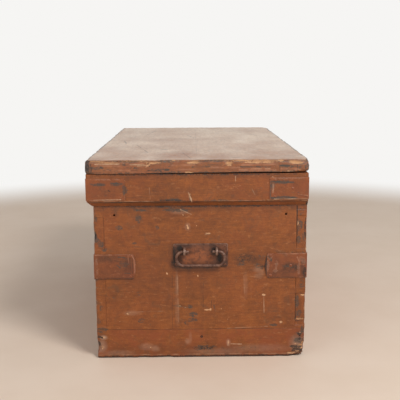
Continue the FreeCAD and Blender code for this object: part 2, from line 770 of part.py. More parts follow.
def plate_corner(x_sign, y_sign):
    z = RIM_Z - CORNER_PLATE_DROP - CORNER_PLATE_HEIGHT / 2
    return Vector(x_sign * BAND_X, BAND_Y if y_sign < 0 else BACK_Y, z)


strap_size = (STRAP_LEG, STRAP_HEIGHT, STRAP_THICKNESS)
plate_size = (CORNER_PLATE_LEG, CORNER_PLATE_HEIGHT, CORNER_PLATE)
strap_nails = [
    one for signs in CORNERS.values() for one in corner_iron_nails(strap_corner(*signs), *signs, *strap_size, nail)
]
plate_nails = [
    one for signs in CORNERS.values() for one in corner_iron_nails(plate_corner(*signs), *signs, *plate_size, tack)
]
lower_brads = bottom_brads(-BOTTOM_BRAD_SET)
lower_holes = bottom_brads(OVERRUN)
moulding_brads = band_brads()
plate_tacks = [mirrored(one, sign) for _, sign in SIDES for one in handle_nails()]
oval_tacks = keyhole_tacks()
eye_pairs = {
    side: [mirrored(handle_eye(MIDDLE_Y + y), sign) for y in (-EYE_SPACING / 2, EYE_SPACING / 2)]
    for side, sign in SIDES
}
all_eyes = [eye for pair in eye_pairs.values() for eye in pair]

body_leaf_screws = [
    (Vector(x, y, RIM_Z), Vector(0, 0, 1)) for middle in HINGE_XS.values() for x, y in hinge_screw_places(middle)
]
lid_leaf_screws = [
    (Vector(x, y, LID_Z), Vector(0, 0, -1)) for middle in HINGE_XS.values() for x, y in hinge_screw_places(middle)
]
cover_screws = [(place, Vector(0, 1, 0)) for place in lock_screw_places()]
keeper_screws = [(place, Vector(0, 0, -1)) for place in keeper_screw_places()]


def screws(places):
    return [screw(*place) for place in places]


def screw_holes(places):
    return [screw_hole(*place) for place in places]


# Carcass
front_upper = long_upper_board(FRONT_Y, INNER_FRONT_Y).cut([lock_case_space(), lock_cover_space(), keyhole()])
front_upper = front_upper.cut([*strap_nails, *moulding_brads, *plate_nails, *oval_tacks, *screw_holes(cover_screws)])
back_upper = long_upper_board(INNER_BACK_Y, BACK_Y)
body_recesses = [hinge_recess(x, RIM_Z - LEAF_THICKNESS, RIM_Z + OVERRUN) for x in HINGE_XS.values()]
back_upper = back_upper.cut([*body_recesses, *strap_nails, *plate_nails, *screw_holes(body_leaf_screws)])
save("front_upper_board", front_upper)
save("back_upper_board", back_upper)
save("front_lower_board", box(-INNER_END_X, INNER_END_X, FRONT_Y, INNER_FRONT_Y, 0, LOWER_COURSE).cut(lower_holes))
save("back_lower_board", box(-INNER_END_X, INNER_END_X, INNER_BACK_Y, BACK_Y, 0, LOWER_COURSE).cut(lower_holes))
for side, sign in SIDES:
    upper = end_upper_board(sign).cut(empty_nail_holes(sign))
    upper = upper.cut([*strap_nails, *moulding_brads, *plate_nails, *plate_tacks, *all_eyes])
    save(f"{side}_end_upper_board", upper)
    lower = box(sign * INNER_END_X, sign * END_X, FRONT_Y, BACK_Y, 0, LOWER_COURSE)
    save(f"{side}_end_lower_board", lower.cut(lower_holes))
for index, place in enumerate(("front", "middle", "back")):
    save(f"bottom_{place}_board", bottom_board(index).cut(lower_holes))
batten_inset = INNER_END_X - BATTEN_WIDTH / 2
for place, x in (("left", -batten_inset), ("middle", 0), ("right", batten_inset)):
    save(f"bottom_{place}_batten", batten(x))
save("bottom_brads", *lower_brads)

# Band and its corner plates
save("band_front", band_front().cut([*moulding_brads, *plate_nails, *oval_tacks, keyhole()]))
for side, sign in SIDES:
    save(f"band_{side}_end", band_end(sign).cut([*moulding_brads, *plate_nails]))
save("band_brads", *moulding_brads)
for name, signs in CORNERS.items():
    plate = corner_iron(plate_corner(*signs), *signs, *plate_size, 0)
    save(f"band_plate_{name}", plate.cut(plate_nails))
save("band_plate_tacks", *plate_nails)

# Corner straps
for name, signs in CORNERS.items():
    strap = corner_iron(strap_corner(*signs), *signs, *strap_size, STRAP_END_RISE)
    save(f"corner_strap_{name}", strap.cut(strap_nails))
save("corner_strap_nails", *strap_nails)

# Lid
lid_recesses = [hinge_recess(x, LID_Z - OVERRUN, LID_Z + LEAF_THICKNESS) for x in HINGE_XS.values()]
lid_recesses += [knuckle_space(x) for x in HINGE_XS.values()]
lid_cuts = [*lid_recesses, keeper_plate_space(), *screw_holes(lid_leaf_screws), *screw_holes(keeper_screws)]
for node, piece in lid_pieces().items():
    save(node, piece.cut(lid_cuts))

# Hinges
for side, x in HINGE_XS.items():
    body_leaf = hinge_leaf(x, 0, RIM_Z - LEAF_THICKNESS, RIM_Z, False)
    lid_leaf = hinge_leaf(x, 1, LID_Z, LID_Z + LEAF_THICKNESS, True)
    save(f"hinge_{side}_body_leaf", body_leaf.cut(screw_holes(body_leaf_screws)))
    save(f"hinge_{side}_lid_leaf", lid_leaf.cut(screw_holes(lid_leaf_screws)))
    save(f"hinge_{side}_pin", hinge_pin(x))
save("hinge_body_screws", *screws(body_leaf_screws))
save("hinge_lid_screws", *screws(lid_leaf_screws))

# Handles
for side, sign in SIDES:
    save(f"handle_{side}_plate", mirrored(handle_plate(), sign).cut([*plate_tacks, *all_eyes]))
    save(f"handle_{side}_eyes", *eye_pairs[side])
    save(f"handle_{side}_bail", mirrored(bail(), sign))
save("handle_tacks", *plate_tacks)

# Lock
save("lock_case", lock_case())
save("lock_cover", lock_cover_space().cut(screw_holes(cover_screws)))
save("lock_bolt", lock_bolt())
save("lock_keeper", keeper().cut(screw_holes(keeper_screws)))
save("keyhole_plate", keyhole_plate().cut(oval_tacks))
save("keyhole_tacks", *oval_tacks)
save("lock_screws", *screws(cover_screws))
save("keeper_screws", *screws(keeper_screws))
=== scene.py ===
import math

import bmesh
import bpy
import numpy as np
from mathutils import Matrix, Vector, kdtree, noise


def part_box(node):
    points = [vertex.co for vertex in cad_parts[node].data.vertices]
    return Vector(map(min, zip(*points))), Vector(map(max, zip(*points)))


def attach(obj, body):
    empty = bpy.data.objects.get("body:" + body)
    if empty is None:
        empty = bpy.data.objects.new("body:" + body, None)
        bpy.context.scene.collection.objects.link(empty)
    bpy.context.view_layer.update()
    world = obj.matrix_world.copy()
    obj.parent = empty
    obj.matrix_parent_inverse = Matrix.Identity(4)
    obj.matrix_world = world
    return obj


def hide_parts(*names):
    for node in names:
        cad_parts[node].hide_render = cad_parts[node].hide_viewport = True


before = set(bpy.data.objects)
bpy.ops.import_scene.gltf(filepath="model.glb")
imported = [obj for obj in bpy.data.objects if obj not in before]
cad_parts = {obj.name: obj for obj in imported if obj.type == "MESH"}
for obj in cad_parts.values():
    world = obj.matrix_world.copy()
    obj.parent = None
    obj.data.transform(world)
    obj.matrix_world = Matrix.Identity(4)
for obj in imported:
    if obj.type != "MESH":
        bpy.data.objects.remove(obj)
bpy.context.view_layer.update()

# Carcass boards
# The carcass is softwood board: a deep upper course dovetailed at the corners over a narrow nailed lower
# course. Two old coats of paint cover it outside and are rubbed and knocked off; inside it is bare.
MM = 0.001
WELD = 0.002 * MM
FLAT_ANGLE = math.radians(0.5)
SHARP_ANGLE = math.radians(25)
EDGE_STEPS = (0.7 * MM, 2.2 * MM, 5.5 * MM)
BOARD_NET = 10 * MM
END_NET = 2.2 * MM
RUBBED_RADIUS = 1.0 * MM
KNOCKED_RADIUS = 7 * MM
BROKEN_RADIUS = 15 * MM
BROKEN_REACH = 26 * MM
NOTCH_RADIUS = 9 * MM
FOOT_WEAR = 2 * MM
FACE_DIP = 0.3 * MM
JOINT_DIP = 0.7 * MM
LEVEL_JOINT_SHARE = 0.3
CHIP_DIP = 0.8 * MM
NO_EDGE = 10.0
JOINT_INSET = 4 * MM
POINT_GAP = 1.5 * MM
MARK_REACH = 1.6
NEAR_FACING = 0.7
SMOOTH_ANGLE = math.radians(40)

end_low, end_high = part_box("right_end_lower_board")
front_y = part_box("front_upper_board")[0].y
back_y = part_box("back_upper_board")[1].y
middle_y = (front_y + back_y) / 2
end_x = end_high.x
board = end_high.x - end_low.x
board_skin = board / 4


def cut_places(low, high, step):
    """Places to cut between two faces: close together beside each face, then evenly spaced."""
    beside = [low + inset for inset in EDGE_STEPS] + [high - inset for inset in EDGE_STEPS]
    first, last = low + EDGE_STEPS[-1], high - EDGE_STEPS[-1]
    count = max(1, round((last - first) / step))
    between = [first + (last - first) * index / count for index in range(1, count)]
    return sorted(place for place in beside + between if low < place < high)


def merged_copy(node):
    """A copy of a node's mesh with its loose triangles joined into whole faces."""
    mesh = bmesh.new()
    mesh.from_mesh(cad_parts[node].data)
    bmesh.ops.remove_doubles(mesh, verts=mesh.verts, dist=WELD)
    bmesh.ops.dissolve_limit(mesh, angle_limit=FLAT_ANGLE, verts=mesh.verts, edges=mesh.edges)
    return mesh


def cut_across(mesh, axis, places, faces=None):
    """Cuts the mesh, or only some of its faces, at each place along an axis; returns the cut faces."""
    facing = Vector((axis == 0, axis == 1, axis == 2))
    for place in places:
        if faces is None:
            geom = mesh.verts[:] + mesh.edges[:] + mesh.faces[:]
        else:
            geom = faces + [*{edge for face in faces for edge in face.edges}]
            geom += [*{vert for face in faces for vert in face.verts}]
        cut = bmesh.ops.bisect_plane(mesh, geom=geom, dist=WELD, plane_co=facing * place, plane_no=facing)
        if faces is not None:
            faces = [part for part in cut["geom"] if isinstance(part, bmesh.types.BMFace)]
    return faces


def net_of(node, step, near_step=None):
    """A copy of a node cut into a net of small faces, finer where it looks along +X."""
    mesh = merged_copy(node)
    low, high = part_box(node)
    for axis in range(3):
        cut_across(mesh, axis, cut_places(low[axis], high[axis], step))
    if near_step:
        for axis in (1, 2):
            mesh.normal_update()
            near = [face for face in mesh.faces if face.normal.x > NEAR_FACING]
            count = round((high[axis] - low[axis]) / near_step)
            cut_across(mesh, axis, [low[axis] + (index + 0.5) * near_step for index in range(count)], near)
    return mesh


def places_of(mesh):
    return np.array([vert.co[:] for vert in mesh.verts])


def facing_of(mesh):
    mesh.normal_update()
    return np.array([vert.normal[:] for vert in mesh.verts])


def move_to(mesh, places):
    for vert, place in zip(mesh.verts, places):
        vert.co = place


def mottle(places, size, seed, octaves=3):
    """Smooth random value from 0 to 1 at each place, with blotches of about one size in millimetres."""
    shift = Vector((seed * 7.3, seed * 3.1, seed * 5.7))
    values = [noise.fractal(Vector(place) / (size * MM) + shift, 1.0, 2.0, octaves) for place in places]
    return np.clip(0.5 + 0.5 * np.array(values), 0, 1)


def fading(away, reach):
    """1 at no distance, falling off over a reach in millimetres."""
    return np.exp(-away / (reach * MM))


def rounded(places, low, high, radius):
    """Places moved in to a box with rounded edges, with one radius for each place."""
    to_low, to_high = places - np.array(low), np.array(high) - places
    inward = np.where(to_low < to_high, 1.0, -1.0)
    reach = np.clip(radius[:, None] - np.minimum(to_low, to_high), 0, None)
    length = np.maximum(np.linalg.norm(reach, axis=1), WELD)
    return places + inward * reach * (1 - np.minimum(1, radius / length))[:, None]


def from_box_edge(places, low, high):
    """How far each place on a box lies from the box's nearest edge."""
    gaps = np.sort(np.minimum(places - np.array(low), np.array(high) - places), axis=1)
    return np.abs(gaps[:, 1])


def is_sharp(edge):
    return len(edge.link_faces) == 2 and edge.calc_face_angle() > SHARP_ANGLE


def sharp_points(mesh):
    """Points along the sharp edges of a mesh."""
    points = []
    for edge in filter(is_sharp, mesh.edges):
        start, stop = edge.verts[0].co.copy(), edge.verts[1].co.copy()
        count = max(1, round((stop - start).length / POINT_GAP))
        points += [start.lerp(stop, index / count) for index in range(count + 1)]
    return points


def from_points(places, points):
    """How far each place lies from the nearest of some points."""
    tree = kdtree.KDTree(len(points))
    for index, point in enumerate(points):
        tree.insert(point, index)
    tree.balance()
    return np.array([tree.find(Vector(place))[2] for place in places])


def patches(places, marks):
    """Strength of oval marks, each (across from the middle, up, half width, half height, strength) in mm."""
    field = np.zeros(len(places))
    across, up = (places[:, 1] - middle_y) / MM, places[:, 2] / MM
    for mark_across, mark_up, half_width, half_height, strength in marks:
        away = np.hypot((across - mark_across) / half_width, (up - mark_up) / half_height)
        field = np.maximum(field, strength * np.clip(MARK_REACH - away, 0, 1))
    return field


def marked(field, places, where, marks):
    """A mask with oval marks added where they belong."""
    return np.maximum(field, where * patches(places, marks))


def finished(name, mesh, body, material, slot, nodes, **masks):
    """Turns a net into an object that stands for its CAD nodes, keeping wear and painted shade as attributes.
    """
    data = bpy.data.meshes.new(name)
    mesh.to_mesh(data)
    mesh.free()
    for mask, values in masks.items():
        data.attributes.new(mask, "FLOAT", "POINT").data.foreach_set("value", np.asarray(values, np.float32))
    data.shade_smooth()
    data.set_sharp_from_angle(angle=SMOOTH_ANGLE)
    data.materials.append(material)
    piece = bpy.data.objects.new(name, data)
    bpy.context.scene.collection.objects.link(piece)
    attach(piece, body)
    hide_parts(*nodes)


def srgb(red, green, blue):
    """A colour as it is seen, 0 to 255, as the linear colour of a shader socket."""
    shares = (value / 255 for value in (red, green, blue))
    return (*(share / 12.92 if share <= 0.04045 else ((share + 0.055) / 1.055) ** 2.4 for share in shares), 1)


VECTOR, FLOAT, COLOUR = "NodeSocketVector", "NodeSocketFloat", "NodeSocketColor"


def new_group(name, inputs, outputs):
    """An empty shader node group with named sockets; returns the tree and its two ends."""
    tree = bpy.data.node_groups.new(name, "ShaderNodeTree")
    for way, sockets in (("INPUT", inputs), ("OUTPUT", outputs)):
        for label, kind in sockets.items():
            tree.interface.new_socket(label, in_out=way, socket_type=kind)
    return tree, tree.nodes.new("NodeGroupInput").outputs, tree.nodes.new("NodeGroupOutput").inputs


def fill(tree, socket, value):
    if isinstance(value, bpy.types.NodeSocket):
        tree.links.new(value, socket)
    else:
        socket.default_value = value


def put(tree, kind, settings, inputs):
    """Adds a node, sets its properties, and fills or links its inputs by name or number."""
    node = tree.nodes.new(kind)
    for key, value in settings.items():
        setattr(node, key, value)
    for key, value in inputs.items():
        fill(tree, node.inputs[key], value)
    return node


def combine(tree, operation, first, second):
    return put(tree, "ShaderNodeMath", {"operation": operation}, {0: first, 1: second}).outputs[0]


def weighted(tree, *terms):
    """Sum of values, each with its weight."""
    total = combine(tree, "MULTIPLY", *terms[0])
    for value, weight in terms[1:]:
        node = put(tree, "ShaderNodeMath", {"operation": "MULTIPLY_ADD"}, {0: value, 1: weight, 2: total})
        total = node.outputs[0]
    return total


def ramp(tree, value, start, stop, low=0.0, high=1.0):
    """Value eased from low to high between start and stop."""
    limits = {"Value": value, "From Min": start, "From Max": stop, "To Min": low, "To Max": high}
    return put(tree, "ShaderNodeMapRange", {"interpolation_type": "SMOOTHSTEP"}, limits).outputs[0]


def blend_colour(tree, share, first, second):
    return put(tree, "ShaderNodeMix", {"data_type": "RGBA"}, {0: share, 6: first, 7: second}).outputs[2]


def overlaid(tree, colour, *layers):
    """A colour with others laid over it, each by a mask and its strength."""
    for mask, strength, shade in layers:
        colour = blend_colour(tree, combine(tree, "MULTIPLY", mask, strength), colour, shade)
    return colour


def colour_ramp(tree, value, *stops):
    node = put(tree, "ShaderNodeValToRGB", {}, {0: value})
    elements = node.color_ramp.elements
    for index, (position, colour) in enumerate(stops):
        element = elements[index] if index < 2 else elements.new(position)
        element.position, element.color = position, colour
    return node.outputs[0]


def cloud(tree, vector, scale, detail=4.0, roughness=0.55, distortion=0.0):
    sizes = {"Vector": vector, "Scale": scale, "Detail": detail, "Roughness": roughness}
    return put(tree, "ShaderNodeTexNoise", {}, {**sizes, "Distortion": distortion}).outputs[0]


def vector_math(tree, operation, first, second, output="Vector"):
    return put(tree, "ShaderNodeVectorMath", {"operation": operation}, {0: first, 1: second}).outputs[output]


def make_break_up():
    """Turns a soft mask of wear, dirt and painted shade into ragged, crisp-edged flakes with a wider rim."""
    tree, given, result = new_group(
        "mask_break_up",
        {"Place": VECTOR, "Mask": FLOAT, "Stretch": VECTOR},
        {"Flake": FLOAT, "Rim": FLOAT},
    )
    along = vector_math(tree, "MULTIPLY", given["Place"], given["Stretch"])
    coarse = ramp(tree, cloud(tree, along, 120, 3, 0.6, 0.6), 0.34, 0.66)
    fine = ramp(tree, cloud(tree, along, 460, 5, 0.7), 0.36, 0.64)
    ragged = combine(tree, "ADD", weighted(tree, (coarse, 0.7), (fine, 0.8)), 0.2)
    field = combine(tree, "MULTIPLY", given["Mask"], ragged)
    tree.links.new(ramp(tree, field, 0.46, 0.60), result["Flake"])
    tree.links.new(ramp(tree, field, 0.26, 0.48), result["Rim"])
    return tree


def make_grain():
    """Softwood: pale and dark growth lines that run along one axis."""
    tree, given, result = new_group(
        "softwood_grain",
        {"Place": VECTOR, "Stretch": VECTOR},
        {"Color": COLOUR, "Line": FLOAT},
    )
    along = vector_math(tree, "MULTIPLY", given["Place"], given["Stretch"])
    bands = {"Vector": along, "Scale": 95.0, "Distortion": 3.0, "Detail": 3.0, "Detail Scale": 0.22}
    rings = put(tree, "ShaderNodeTexWave", {"bands_direction": "DIAGONAL"}, bands).outputs["Fac"]
    fibres, boards = cloud(tree, along, 520, 4, 0.65), cloud(tree, along, 26, 4, 0.6)
    line = weighted(tree, (rings, 0.16), (fibres, 0.5), (boards, 0.4))
    colour = colour_ramp(tree, line, (0.36, srgb(204, 152, 104)), (0.72, srgb(132, 84, 52)))
    tree.links.new(colour, result["Color"])
    tree.links.new(line, result["Line"])
    return tree


def make_brushed_paint():
    """Old brushed paint: broad uneven colour, redder clouds, brush lines along the grain and fine specks."""
    tree, given, result = new_group(
        "brushed_paint",
        {"Place": VECTOR, "Stretch": VECTOR, "Red": FLOAT},
        {"Color": COLOUR, "Height": FLOAT, "Sheen": FLOAT},
    )
    place = given["Place"]
    along = vector_math(tree, "MULTIPLY", place, given["Stretch"])
    broad, clouds = cloud(tree, place, 7, 4), cloud(tree, place, 60, 6, 0.68, 0.8)
    brush, bristles = cloud(tree, along, 240, 4, 0.6), cloud(tree, along, 640, 3, 0.6)
    specks = cloud(tree, place, 700, 3, 0.65)
    value = weighted(tree, (broad, 0.24), (clouds, 0.26), (brush, 0.14), (bristles, 0.12), (specks, 0.26))
    colour = colour_ramp(
        tree, value, (0.42, srgb(98, 51, 17)), (0.62, srgb(158, 90, 33)), (0.52, srgb(130, 70, 23))
    )
    redder = ramp(tree, cloud(tree, place, 15, 5, 0.66, 0.5), 0.30, 0.70)
    smudged = ramp(tree, cloud(tree, place, 30, 6, 0.72, 1.0), 0.53, 0.73, 0.0, 0.55)
    level = vector_math(tree, "MULTIPLY", place, (0.4, 0.4, 1))
    scuffed = ramp(tree, cloud(tree, level, 150, 5, 0.7), 0.56, 0.72, 0.0, 0.5)
    spots = ramp(tree, cloud(tree, place, 420, 2, 0.5), 0.30, 0.24, 0.0, 0.8)
    wider = vector_math(tree, "MULTIPLY", place, (1, 0.6, 1))
    flecks = ramp(tree, cloud(tree, wider, 330, 2, 0.5), 0.73, 0.79, 0.0, 0.7)
    colour = overlaid(
        tree, colour, (redder, given["Red"], srgb(136, 65, 31)), (smudged, 1, srgb(90, 62, 40)),
        (scuffed, 1, srgb(168, 111, 68)), (spots, 1, srgb(62, 42, 32)), (flecks, 1, srgb(196, 146, 106)),
    )
    tree.links.new(colour, result["Color"])
    tree.links.new(weighted(tree, (brush, 0.7), (bristles, 0.5), (clouds, 0.5)), result["Height"])
    tree.links.new(clouds, result["Sheen"])
    return tree


def make_score():
    """A straight thin line, a little unsteady, for scratches, cracks, runs of paint and painted highlights
    and shade.
    """
    tree, given, result = new_group(
        "score_line",
        {"Place": VECTOR, "Start": VECTOR, "Along": VECTOR, "Length": FLOAT, "Width": FLOAT},
        {"Mask": FLOAT},
    )
    place, along = given["Place"], given["Along"]
    offset = vector_math(tree, "SUBTRACT", place, given["Start"])
    reach = vector_math(tree, "DOT_PRODUCT", offset, along, "Value")
    held = combine(tree, "MINIMUM", combine(tree, "MAXIMUM", reach, 0.0), given["Length"])
    foot = put(tree, "ShaderNodeVectorMath", {"operation": "SCALE"}, {0: along, "Scale": held}).outputs[0]
    away = vector_math(tree, "DISTANCE", offset, foot, "Value")
    unsteady = weighted(tree, (cloud(tree, place, 160, 3), 1.6), (cloud(tree, place, 700, 2), 0.8))
    width = combine(tree, "MULTIPLY", given["Width"], unsteady)
    share = combine(tree, "SUBTRACT", 1.0, combine(tree, "DIVIDE", away, width))
    broken = ramp(tree, cloud(tree, place, 48, 3, 0.6), 0.36, 0.60, 0.15, 1.0)
    tree.links.new(combine(tree, "MULTIPLY", ramp(tree, share, 0.0, 0.6), broken), result["Mask"])
    return tree


mask_break_up, softwood_grain = make_break_up(), make_grain()
brushed_paint, score_line = make_brushed_paint(), make_score()

ALONG_X, ALONG_Y, EVEN = (0.09, 1, 1), (1, 0.09, 1), (1, 1, 1)
SLATE = srgb(66, 58, 50)
NICK = srgb(204, 154, 112)
# The grime colour darkens dirt and also paints shade: a contact shadow along the foot, shadows under the band
# and the straps, in the lid gap and round the handle.
GRIME_AND_SHADE = srgb(34, 25, 20)
# The stain colour also paints soft shadows: under and beside the handle plate, under the band and on the
# band's down-facing bevel.
STAIN_AND_SHADE = srgb(62, 38, 24)
# The dust colour also paints, on the lid's top, the sheen of the pale surround reflected at a low angle.
DUST_AND_SHEEN = srgb(213, 189, 165)
# The pale colour also paints highlights along lit edges: the ridge of the band's bevel and the lower edges of
# its plates.
PALE_AND_HIGHLIGHT = srgb(188, 150, 118)
PAINT_RELIEF = (0.45, 0.0006)


def attribute(tree, name):
    return put(tree, "ShaderNodeAttribute", {"attribute_name": name}, {}).outputs["Fac"]


def group(tree, node_tree, **inputs):
    return put(tree, "ShaderNodeGroup", {"node_tree": node_tree}, inputs).outputs


def flaked(tree, place, mask, stretch=EVEN):
    """Flakes and rims of a mask kept in one of the piece's attributes: wear, dirt and painted shade alike."""
    return group(tree, mask_break_up, Place=place, Mask=attribute(tree, mask), Stretch=stretch)


def new_material(name):
    """A material with its node tree, its shader and the place on the object."""
    material = bpy.data.materials.new(name)
    material.use_nodes = True
    tree = material.node_tree
    place = put(tree, "ShaderNodeTexCoord", {}, {}).outputs["Object"]
    return material, tree, tree.nodes["Principled BSDF"], place


def surface(tree, shader, colour, roughness, height, relief):
    """Links a colour, a roughness and a relief, of some strength and depth, to a shader."""
    strength, depth = relief
    bump = put(tree, "ShaderNodeBump", {}, {"Height": height, "Strength": strength, "Distance": depth})
    for label, value in (("Base Color", colour), ("Roughness", roughness), ("Normal", bump.outputs[0])):
        tree.links.new(value, shader.inputs[label])


def scored(tree, colour, place, scores):
    """A colour with straight scratches, cracks and painted highlight and shade lines drawn over it."""
    for start, stop, width, strength, shade in scores:
        reach = Vector(stop) - Vector(start)
        along, length = reach.normalized(), reach.length
        line = group(tree, score_line, Place=place, Start=start, Along=along, Length=length, Width=width)
        colour = overlaid(tree, colour, (line["Mask"], strength, shade))
    return colour


def painted_softwood(name, stretch, red, scores=()):
    """Two coats of old paint over softwood, worn, soiled, painted with shade and sheen by its attributes."""
    material, tree, shader, place = new_material(name)
    paint = group(tree, brushed_paint, Place=place, Stretch=stretch, Red=red)
    wood = group(tree, softwood_grain, Place=place, Stretch=stretch)
    torn = tuple(0.3 + 0.7 * share for share in stretch)
    chipped, older = flaked(tree, place, "bare", torn), flaked(tree, place, "slate", torn)
    dirt_and_shade, nicked = flaked(tree, place, "grime"), flaked(tree, place, "nick")
    dust, stain, raw = (attribute(tree, mask) for mask in ("dust", "stain", "raw"))
    uneven = ramp(tree, cloud(tree, place, 24, 6, 0.68, 0.6), 0.34, 0.66, 0.35, 1.0)
    drift = weighted(tree, (paint["Height"], 0.5), (cloud(tree, place, 110, 6, 0.72), 1.0))
    settled = ramp(tree, drift, 0.75, 1.1, 0.46, 0.72)
    patchy = ramp(tree, cloud(tree, place, 330, 4, 0.65), 0.36, 0.6, 0.45, 0.9)
    rim = combine(tree, "MULTIPLY", chipped["Rim"], 0.45)
    old_coat = combine(tree, "MAXIMUM", combine(tree, "MULTIPLY", older["Flake"], patchy), rim)
    gone = combine(tree, "MAXIMUM", combine(tree, "MULTIPLY", chipped["Flake"], 0.85), raw)
    # The stain, dust and grime layers also lay painted shade, and the lid's painted sheen, into the colour.
    colour = overlaid(
        tree, paint["Color"], (stain, uneven, STAIN_AND_SHADE), (dust, settled, DUST_AND_SHEEN), (old_coat, 1, SLATE),
        (gone, 1, wood["Color"]), (dirt_and_shade["Rim"], 0.8, GRIME_AND_SHADE), (nicked["Flake"], 0.9, NICK),
    )
    dull = weighted(tree, (ramp(tree, paint["Sheen"], 0.3, 0.7, 0.40, 0.56), 1.0), (dust, -0.05))
    roughness = combine(tree, "MAXIMUM", dull, combine(tree, "MULTIPLY", gone, 0.8))
    height = weighted(tree, (paint["Height"], 1.0), (gone, -1.0), (old_coat, -0.5), (dirt_and_shade["Flake"], -0.8))
    surface(tree, shader, scored(tree, colour, place, scores), roughness, height, PAINT_RELIEF)
    return material


def drawn(marks, to_place):
    """Scores from marks in millimetres: start, stop, width, strength and shade."""
    return tuple(
        (to_place(*mark[:2]), to_place(*mark[2:4]), mark[4] * MM, *mark[5:]) for mark in marks
    )


def on_end(*marks, out=0.0, side=1):
    """Scores on the outside of the right or left end, placed across from the middle and up."""
    return drawn(marks, lambda across, up: (side * (end_x + out * MM), middle_y + across * MM, up * MM))


def on_side(side_y, *marks):
    """Scores on the front or back, placed along from the middle and up."""
    return drawn(marks, lambda along, up: (along * MM, side_y, up * MM))


END_SCORES = on_end(
    (-64, 68, -63, 192, 1.2, 0.35, GRIME_AND_SHADE), (5, 67, 6, 177, 1, 0.4, GRIME_AND_SHADE),
    (-65, 124, 54, 123, 0.9, 0.3, GRIME_AND_SHADE), (-52, 192, -51, 148, 1.3, 0.35, PALE_AND_HIGHLIGHT),
    (-51, 138, -50, 84, 1.2, 0.18, PALE_AND_HIGHLIGHT), (141, 146, 142, 104, 0.9, 0.7, PALE_AND_HIGHLIGHT),
    (-160, 108, -84, 110, 0.9, 0.3, PALE_AND_HIGHLIGHT), (62, 39, 61, 28, 1.8, 0.8, PALE_AND_HIGHLIGHT), (68, 31, 92, 30, 1, 0.9, PALE_AND_HIGHLIGHT),
    (-76, 349, -22, 336, 1.6, 0.9, SLATE), (-150, 346, -112, 338, 1.6, 0.7, SLATE),
    (-44, 342, -20, 331, 1.2, 0.7, PALE_AND_HIGHLIGHT), (60, 68, 150, 72, 1.2, 0.4, PALE_AND_HIGHLIGHT),
    (-60, 122, -18, 117, 1, 0.6, SLATE), (24, 134, 24, 108, 0.9, 0.6, GRIME_AND_SHADE),
    (96, 190, 98, 150, 1, 0.25, PALE_AND_HIGHLIGHT), (112, 168, 113, 140, 1, 0.2, PALE_AND_HIGHLIGHT),
    (-150, 260, -128, 258, 1, 0.5, SLATE),
)
CORNER_SCORES = on_end(
    (212, 347, 213, 269, 1.3, 1, GRIME_AND_SHADE), (213, 262, 212, 150, 0.8, 0.5, GRIME_AND_SHADE),
    (212, 140, 213, 88, 1.2, 0.9, GRIME_AND_SHADE), (-212, 350, -211, 262, 0.7, 0.35, GRIME_AND_SHADE),
    (-233, 67, 233, 67, 0.9, 0.5, GRIME_AND_SHADE), (213, 84, 234, 85, 1.2, 0.9, GRIME_AND_SHADE),
    (-236, 7, 236, 7, 1.4, 0.35, PALE_AND_HIGHLIGHT),
)
LEFT_SCORES = on_end(
    (-150, 300, -60, 306, 1.2, 0.5, PALE_AND_HIGHLIGHT), (60, 340, 112, 330, 1.6, 0.8, SLATE),
    (92, 160, 94, 96, 1, 0.5, PALE_AND_HIGHLIGHT), (-120, 140, -40, 133, 1, 0.5, SLATE),
    (20, 66, 21, 180, 1, 0.35, GRIME_AND_SHADE), (150, 270, 155, 268, 2, 1, NICK), (-88, 180, -84, 179, 1.6, 1, NICK),
    (-30, 96, -22, 97, 1.8, 1, NICK), (120, 30, 146, 31, 1.2, 0.8, PALE_AND_HIGHLIGHT),
    (-160, 40, -156, 28, 1.6, 0.8, PALE_AND_HIGHLIGHT), (-233, 67, 233, 67, 0.9, 0.5, GRIME_AND_SHADE),
    side=-1,
)
SIDE_SCORES = on_side(
    front_y,
    (-330, 290, -210, 284, 1.1, 0.5, PALE_AND_HIGHLIGHT), (-120, 150, -122, 96, 1, 0.6, PALE_AND_HIGHLIGHT),
    (60, 236, 176, 246, 1.4, 0.6, SLATE), (250, 180, 318, 120, 1, 0.6, PALE_AND_HIGHLIGHT),
    (330, 330, 332, 262, 1.2, 0.35, GRIME_AND_SHADE), (-40, 330, 44, 326, 1.2, 0.5, SLATE),
    (-305, 118, -298, 117, 2, 1, NICK), (-60, 205, -56, 209, 1.6, 1, NICK),
    (190, 84, 199, 83, 1.6, 1, NICK), (118, 310, 121, 304, 1.6, 0.9, NICK),
    (-215, 36, -188, 37, 1.2, 0.8, PALE_AND_HIGHLIGHT), (80, 26, 84, 18, 2.2, 0.9, NICK),
    (-430, 67, 430, 67, 0.9, 0.5, GRIME_AND_SHADE),
) + on_side(
    back_y,
    (-300, 320, -160, 326, 1.2, 0.5, SLATE), (-220, 170, -90, 150, 1, 0.5, PALE_AND_HIGHLIGHT),
    (40, 300, 42, 190, 1.2, 0.3, GRIME_AND_SHADE), (140, 130, 230, 122, 1.2, 0.6, PALE_AND_HIGHLIGHT),
    (280, 260, 350, 300, 1, 0.5, PALE_AND_HIGHLIGHT), (-350, 240, -342, 241, 1.8, 1, NICK),
    (-20, 110, -15, 113, 1.6, 1, NICK), (190, 220, 196, 217, 1.8, 0.9, NICK),
    (300, 40, 326, 38, 1.4, 0.8, PALE_AND_HIGHLIGHT), (-430, 67, 430, 67, 0.9, 0.5, GRIME_AND_SHADE),
)
